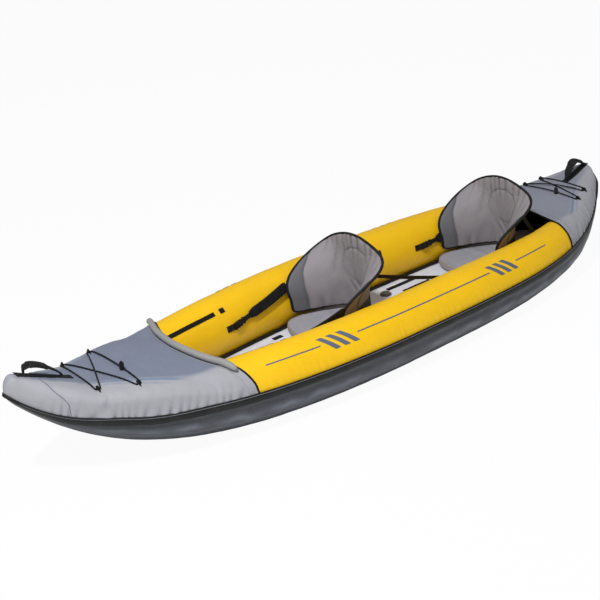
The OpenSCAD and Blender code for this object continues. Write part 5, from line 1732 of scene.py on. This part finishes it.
def seatPads():
    points, faces, uvs, side, edge, outline = padShell()
    baseBlocks = []
    for label, dx in seatRows:
        pad = toMesh(label + "SeatPad", shifted(points, dx), faces, uvs, "seat_pad_cloth",
                     away=(seat["x"] + dx + 180, 0, 95), replaced=(label + "_seat_pad",))
        setMark(pad, "padSide", side)
        soften(pad)
        piping = [p + Vector((dx, 0, 0.6)) for p in edge]
        tubePiece(label + "PadPiping", piping, padLook["pipeR"], "roll_cloth", 8, closed=True)
        z0 = hull["floorTop"] + seat["floorGap"]
        rows = [[padInset(p, c) + Vector((dx, 0, z0 + h)) for p in outline]
                for c, h in ((0.5, 0.0), (0.80, 0.0), (0.83, 1.0), (0.83, 3.2), (0.80, seat["baseT"]),
                             (0.5, seat["baseT"]))]
        baseBlocks.append(gridParts(rows, True, True))
    joinParts("padBases", baseBlocks, "pad_base_cloth", replaced=("seat_pad_bases",))


seatPads()
print("seat pads made")


# side straps: webbing through a slider, then a padded strap sewn to the wing; stays behind the seats
strapLook = {"roll": -73.0, "webAt": 62.6, "webRun": 40.0, "webW": 23.0, "padW": 50.0, "padT": 9.0,
             "wingV": (0.36, 0.2), "padEnd": -13.0, "padSteps": 48, "sag": (5.0, 0.5), "webT": 2.0,
             "sliderHalf": 16.0, "sliderGap": 3.5, "padGap": 4.5,
             "stayS": 0.62, "stayV": 0.6, "stayW": 22.0, "stayOff": (4.2, 7.25), "stayTab": (2.1, 3.3)}


def strapFrame(k):
    tab = onFace(tabLook["strapTabs"][k], tabLook["strapFace"], 9)
    wing = edgeOut(strapLook["wingV"][k], 6.2) + Vector((7 - k * seat["pitch"], 0, 0))
    u = (wing - tab).normalized()
    turn = (Matrix.Rotation(math.atan2(u.y, u.x), 3, "Z") @ Matrix.Rotation(-math.asin(u.z), 3, "Y")
            @ Matrix.Rotation(math.radians(strapLook["roll"]), 3, "X"))
    return tab, wing, u, turn


def seatStraps():
    for k, row in enumerate(("front", "rear")):
        tab, wing, u, turn = strapFrame(k)
        across, normal = turn @ Vector((0, 1, 0)), turn @ Vector((0, 0, 1))
        length = (wing - tab).length
        webAt = strapLook["webAt"]
        slider = webAt + strapLook["webRun"] + strapLook["sliderGap"]
        padFrom = slider + strapLook["padGap"]
        padTo = length - strapLook["padEnd"]

        def at(d, sag=0.0):
            return tab + u * d + Vector((0, 0, -sag))

        split = slider - 4 if k == 0 else webAt + 26
        web = [at(webAt - 6 + (split + 8 - webAt) * i / 16) for i in range(17)]
        under = [at(split - 1 + (padFrom + 21 - split) * i / 16) for i in range(17)]
        tail = [at(slider + 2 + 5 * i) + normal * (2.6 + 0.25 * i) - across * (0.3 * i)
                for i in range(max(3, min(12, int((length - slider - 8) / 5))))]
        webParts = [bandParts(web, normal, strapLook["webW"], strapLook["webT"])]
        tailParts = [bandParts(under, normal, strapLook["webW"], strapLook["webT"]),
                     bandParts(tail, normal, strapLook["webW"] - 2, 1.8)]
        wide = across * strapLook["sliderHalf"]
        frameLoop = [at(slider - 5) + wide, at(slider + 5) + wide, at(slider + 5) - wide, at(slider - 5) - wide]
        bars = [sweepParts(dense(frameLoop, 4, True), normal, webProf(4.0, 5.4), True)]
        bars.append(sweepParts([at(slider) + wide, at(slider), at(slider) - wide], normal, webProf(3.4, 6.2)))
        count = strapLook["padSteps"]
        padPath = []
        for i in range(count + 1):
            t = i / count
            padPath.append(at(padFrom + (padTo - padFrom) * t, strapLook["sag"][k] * sind(180 * t)))

        def padProf(i):
            t = i / count
            ends = smooth((min(i, count - i) + 0.5) / 4)
            w = strapLook["padW"] * (0.8 + 0.2 * ends) * (1 - 0.08 * (1 - t))
            h = strapLook["padT"] * (0.45 + 0.55 * ends) * (1 + 0.05 * math.sin(i * 1.3))
            return boxProf(w / 2, h / 2, 0.45, 0.8)

        padParts = sweepParts(padPath, normal, padProf)
        marks = []
        for flip in (-1, 1):
            for lift in (-1, 1):
                line = [p + across * (flip * 16.5) + normal * (lift * 2.9) for p in padPath[3:-3]]
                marks += stitchParts(line, normal * lift, 7.0, 4.4, 0.9, 0.7)
        for side, mirrored in sides:
            node = row + "_" + side.lower() + "_strap"
            stretch = (at(padFrom - 2), wing - u * 20) if k == 0 else (at(split), wing - u * 2)
            loose, lean = ([tuple(p * mm) for p in pair]
                           for pair in mirrorRows(([at(webAt + 1), at(split)], stretch), mirrored))
            for label, blocks, finish, slot in (("StrapPad", [padParts], "strap_cloth", None),
                                                ("StrapWeb", webParts, "black_webbing", None),
                                                ("StrapTail", tailParts, "black_webbing", None),
                                                ("StrapSlider", bars, "black_plastic", None),
                                                ("StrapStitches", marks, "dark_thread", "strap_cloth")):
                piece = joinParts(row + side + label, mirrorBlocks(blocks, mirrored, True), finish, body=None,
                                  slot=slot, replaced=(node,) if label != "StrapStitches" else ())
                if label == "StrapWeb":   # the web piece is baked in place, the same as the others
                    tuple(loose[0])
                    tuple(loose[1])
                    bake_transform(piece)
                else:
                    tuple(lean[0])
                    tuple(lean[1])
                    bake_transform(piece)


def seatStays():
    for k, row in enumerate(("front", "rear")):
        shift = Vector((-k * seat["pitch"], 0, 0))
        a = behind(strapLook["stayS"], strapLook["stayV"], strapLook["stayOff"][k]) + shift
        b = onFace(tabLook["stayTabs"][k], tabLook["stayFace"], strapLook["webT"] + strapLook["stayTab"][k])
        path = [a.lerp(b, i / 30) - Vector((0, 0, 4 * sind(180 * i / 30))) for i in range(31)]
        up = Vector((0.3, -0.8, 0.5)).normalized()
        parts = bandParts(path, up, strapLook["stayW"], strapLook["webT"])
        for side, mirrored in sides:
            piece = joinParts(row + side + "Stay", mirrorBlocks([parts], mirrored, True), "black_webbing",
                              body=None, replaced=(row + "_seat_stays",))
            start, end = mirrorRows([(b, a)], mirrored)[0]
            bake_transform(piece)


seatStraps()
seatStays()
bevelNode("seat_buckle_bodies", 1.2, "black_plastic")
for tongueName in ("front_port_tongue", "front_starboard_tongue", "rear_port_tongue", "rear_starboard_tongue"):
    bevelNode(tongueName, 0.7, "black_plastic")
print("straps made")


# valves and fin keep their solids, with softened edges
bevelNode("valve_bodies", 0.8, "valve_plastic")
for place in ("port", "starboard", "floor"):
    bevelNode(place + "_valve_cap", 1.2, "valve_plastic")
    bevelNode(place + "_valve_plunger", 0.6, "valve_stem")
bevelNode("tracking_fin", 1.6, "fin_plastic")
print("fittings finished")


# camera, floor and soft light
view = {"place": (3.02616, 3.54385, 2.35558), "right": (-0.76910, 0.63471, -0.07499),
        "up": (-0.32014, -0.28104, 0.90473), "forward": (-0.55317, -0.71983, -0.41934),
        "focal": 67.6, "sensor": 36.0, "clipEnd": 200.0}
camera = bpy.data.objects.new("photoCamera", bpy.data.cameras.new("photoCamera"))
bpy.context.scene.collection.objects.link(camera)
turnMatrix = Matrix((view["right"], view["up"], tuple(-c for c in view["forward"]))).transposed()
camera.matrix_world = Matrix.Translation(view["place"]) @ turnMatrix.to_4x4()
camera.data.lens = view["focal"]
camera.data.sensor_width = view["sensor"]
camera.data.clip_end = view["clipEnd"]
bpy.context.scene.camera = camera

light = {"worldLevel": 0.27, "keyPlace": (3.3, 1.7, 5.9), "keySize": 0.6, "keyPower": 340.0,
         "fillPlace": (0.8, 5.0, 2.6), "fillSize": 2.6, "fillPower": 16.0,
         "topPlace": (0.0, 0.0, 6.0), "topSize": 4.0, "topPower": 12.0,
         "floorHalf": 16.0, "floorShare": 0.95}


def aimLamp(name, place, size, power, target=(0, 0, 0.2)):
    lamp = bpy.data.lights.new(name, "AREA")
    lamp.shape = "DISK"
    lamp.size = size
    lamp.energy = power
    obj = bpy.data.objects.new(name, lamp)
    bpy.context.scene.collection.objects.link(obj)
    aim = (Vector(target) - Vector(place)).to_track_quat("-Z", "Y")
    obj.matrix_world = Matrix.Translation(place) @ aim.to_matrix().to_4x4()


def mixSeen(tree, share, plain, bright, out):
    # the bright shader shows only to the camera and through clear pieces
    rays = tree.nodes.new("ShaderNodeLightPath")
    seen = calc(tree, "MAXIMUM", rays.outputs["Is Camera Ray"], rays.outputs["Is Transmission Ray"])
    pick = tree.nodes.new("ShaderNodeMixShader")
    tree.links.new(calc(tree, "MULTIPLY", seen, share), pick.inputs[0])
    tree.links.new(plain.outputs[0], pick.inputs[1])
    tree.links.new(bright.outputs[0], pick.inputs[2])
    tree.links.new(pick.outputs[0], out.inputs[0])


def studio():
    for label in ("key", "fill", "top"):
        aimLamp(label + "Lamp", light[label + "Place"], light[label + "Size"], light[label + "Power"])
    world = bpy.data.worlds.new("studioWorld")
    bpy.context.scene.world = world
    world.use_nodes = True
    tree = world.node_tree
    tree.nodes.clear()
    lit = tree.nodes.new("ShaderNodeBackground")
    lit.inputs["Color"].default_value = (0.93, 0.96, 1.0, 1)
    lit.inputs["Strength"].default_value = light["worldLevel"]
    white = tree.nodes.new("ShaderNodeBackground")
    white.inputs["Color"].default_value = (1, 1, 1, 1)
    mixSeen(tree, 1.0, lit, white, tree.nodes.new("ShaderNodeOutputWorld"))


def paleFloor():
    mesh = bpy.data.meshes.new("studioFloor")
    r = light["floorHalf"]
    mesh.from_pydata([(-r, -r, -0.001), (r, -r, -0.001), (r, r, -0.001), (-r, r, -0.001)], [], [(0, 1, 2, 3)])
    obj = bpy.data.objects.new("studioFloor", mesh)
    bpy.context.scene.collection.objects.link(obj)
    mat = bpy.data.materials.new("studioFloorPaint")
    mat.use_nodes = True
    tree = mat.node_tree
    shader = tree.nodes["Principled BSDF"]
    shader.inputs["Base Color"].default_value = (0.86, 0.86, 0.86, 1)
    shader.inputs["Roughness"].default_value = 0.9
    shader.inputs["Specular IOR Level"].default_value = 0.1
    glow = tree.nodes.new("ShaderNodeEmission")
    glow.inputs["Color"].default_value = (1, 1, 1, 1)
    mixSeen(tree, light["floorShare"], shader, glow, tree.nodes["Material Output"])
    mesh.materials.append(mat)


studio()
paleFloor()
bpy.context.scene.view_settings.view_transform = "Standard"
print("stage made")
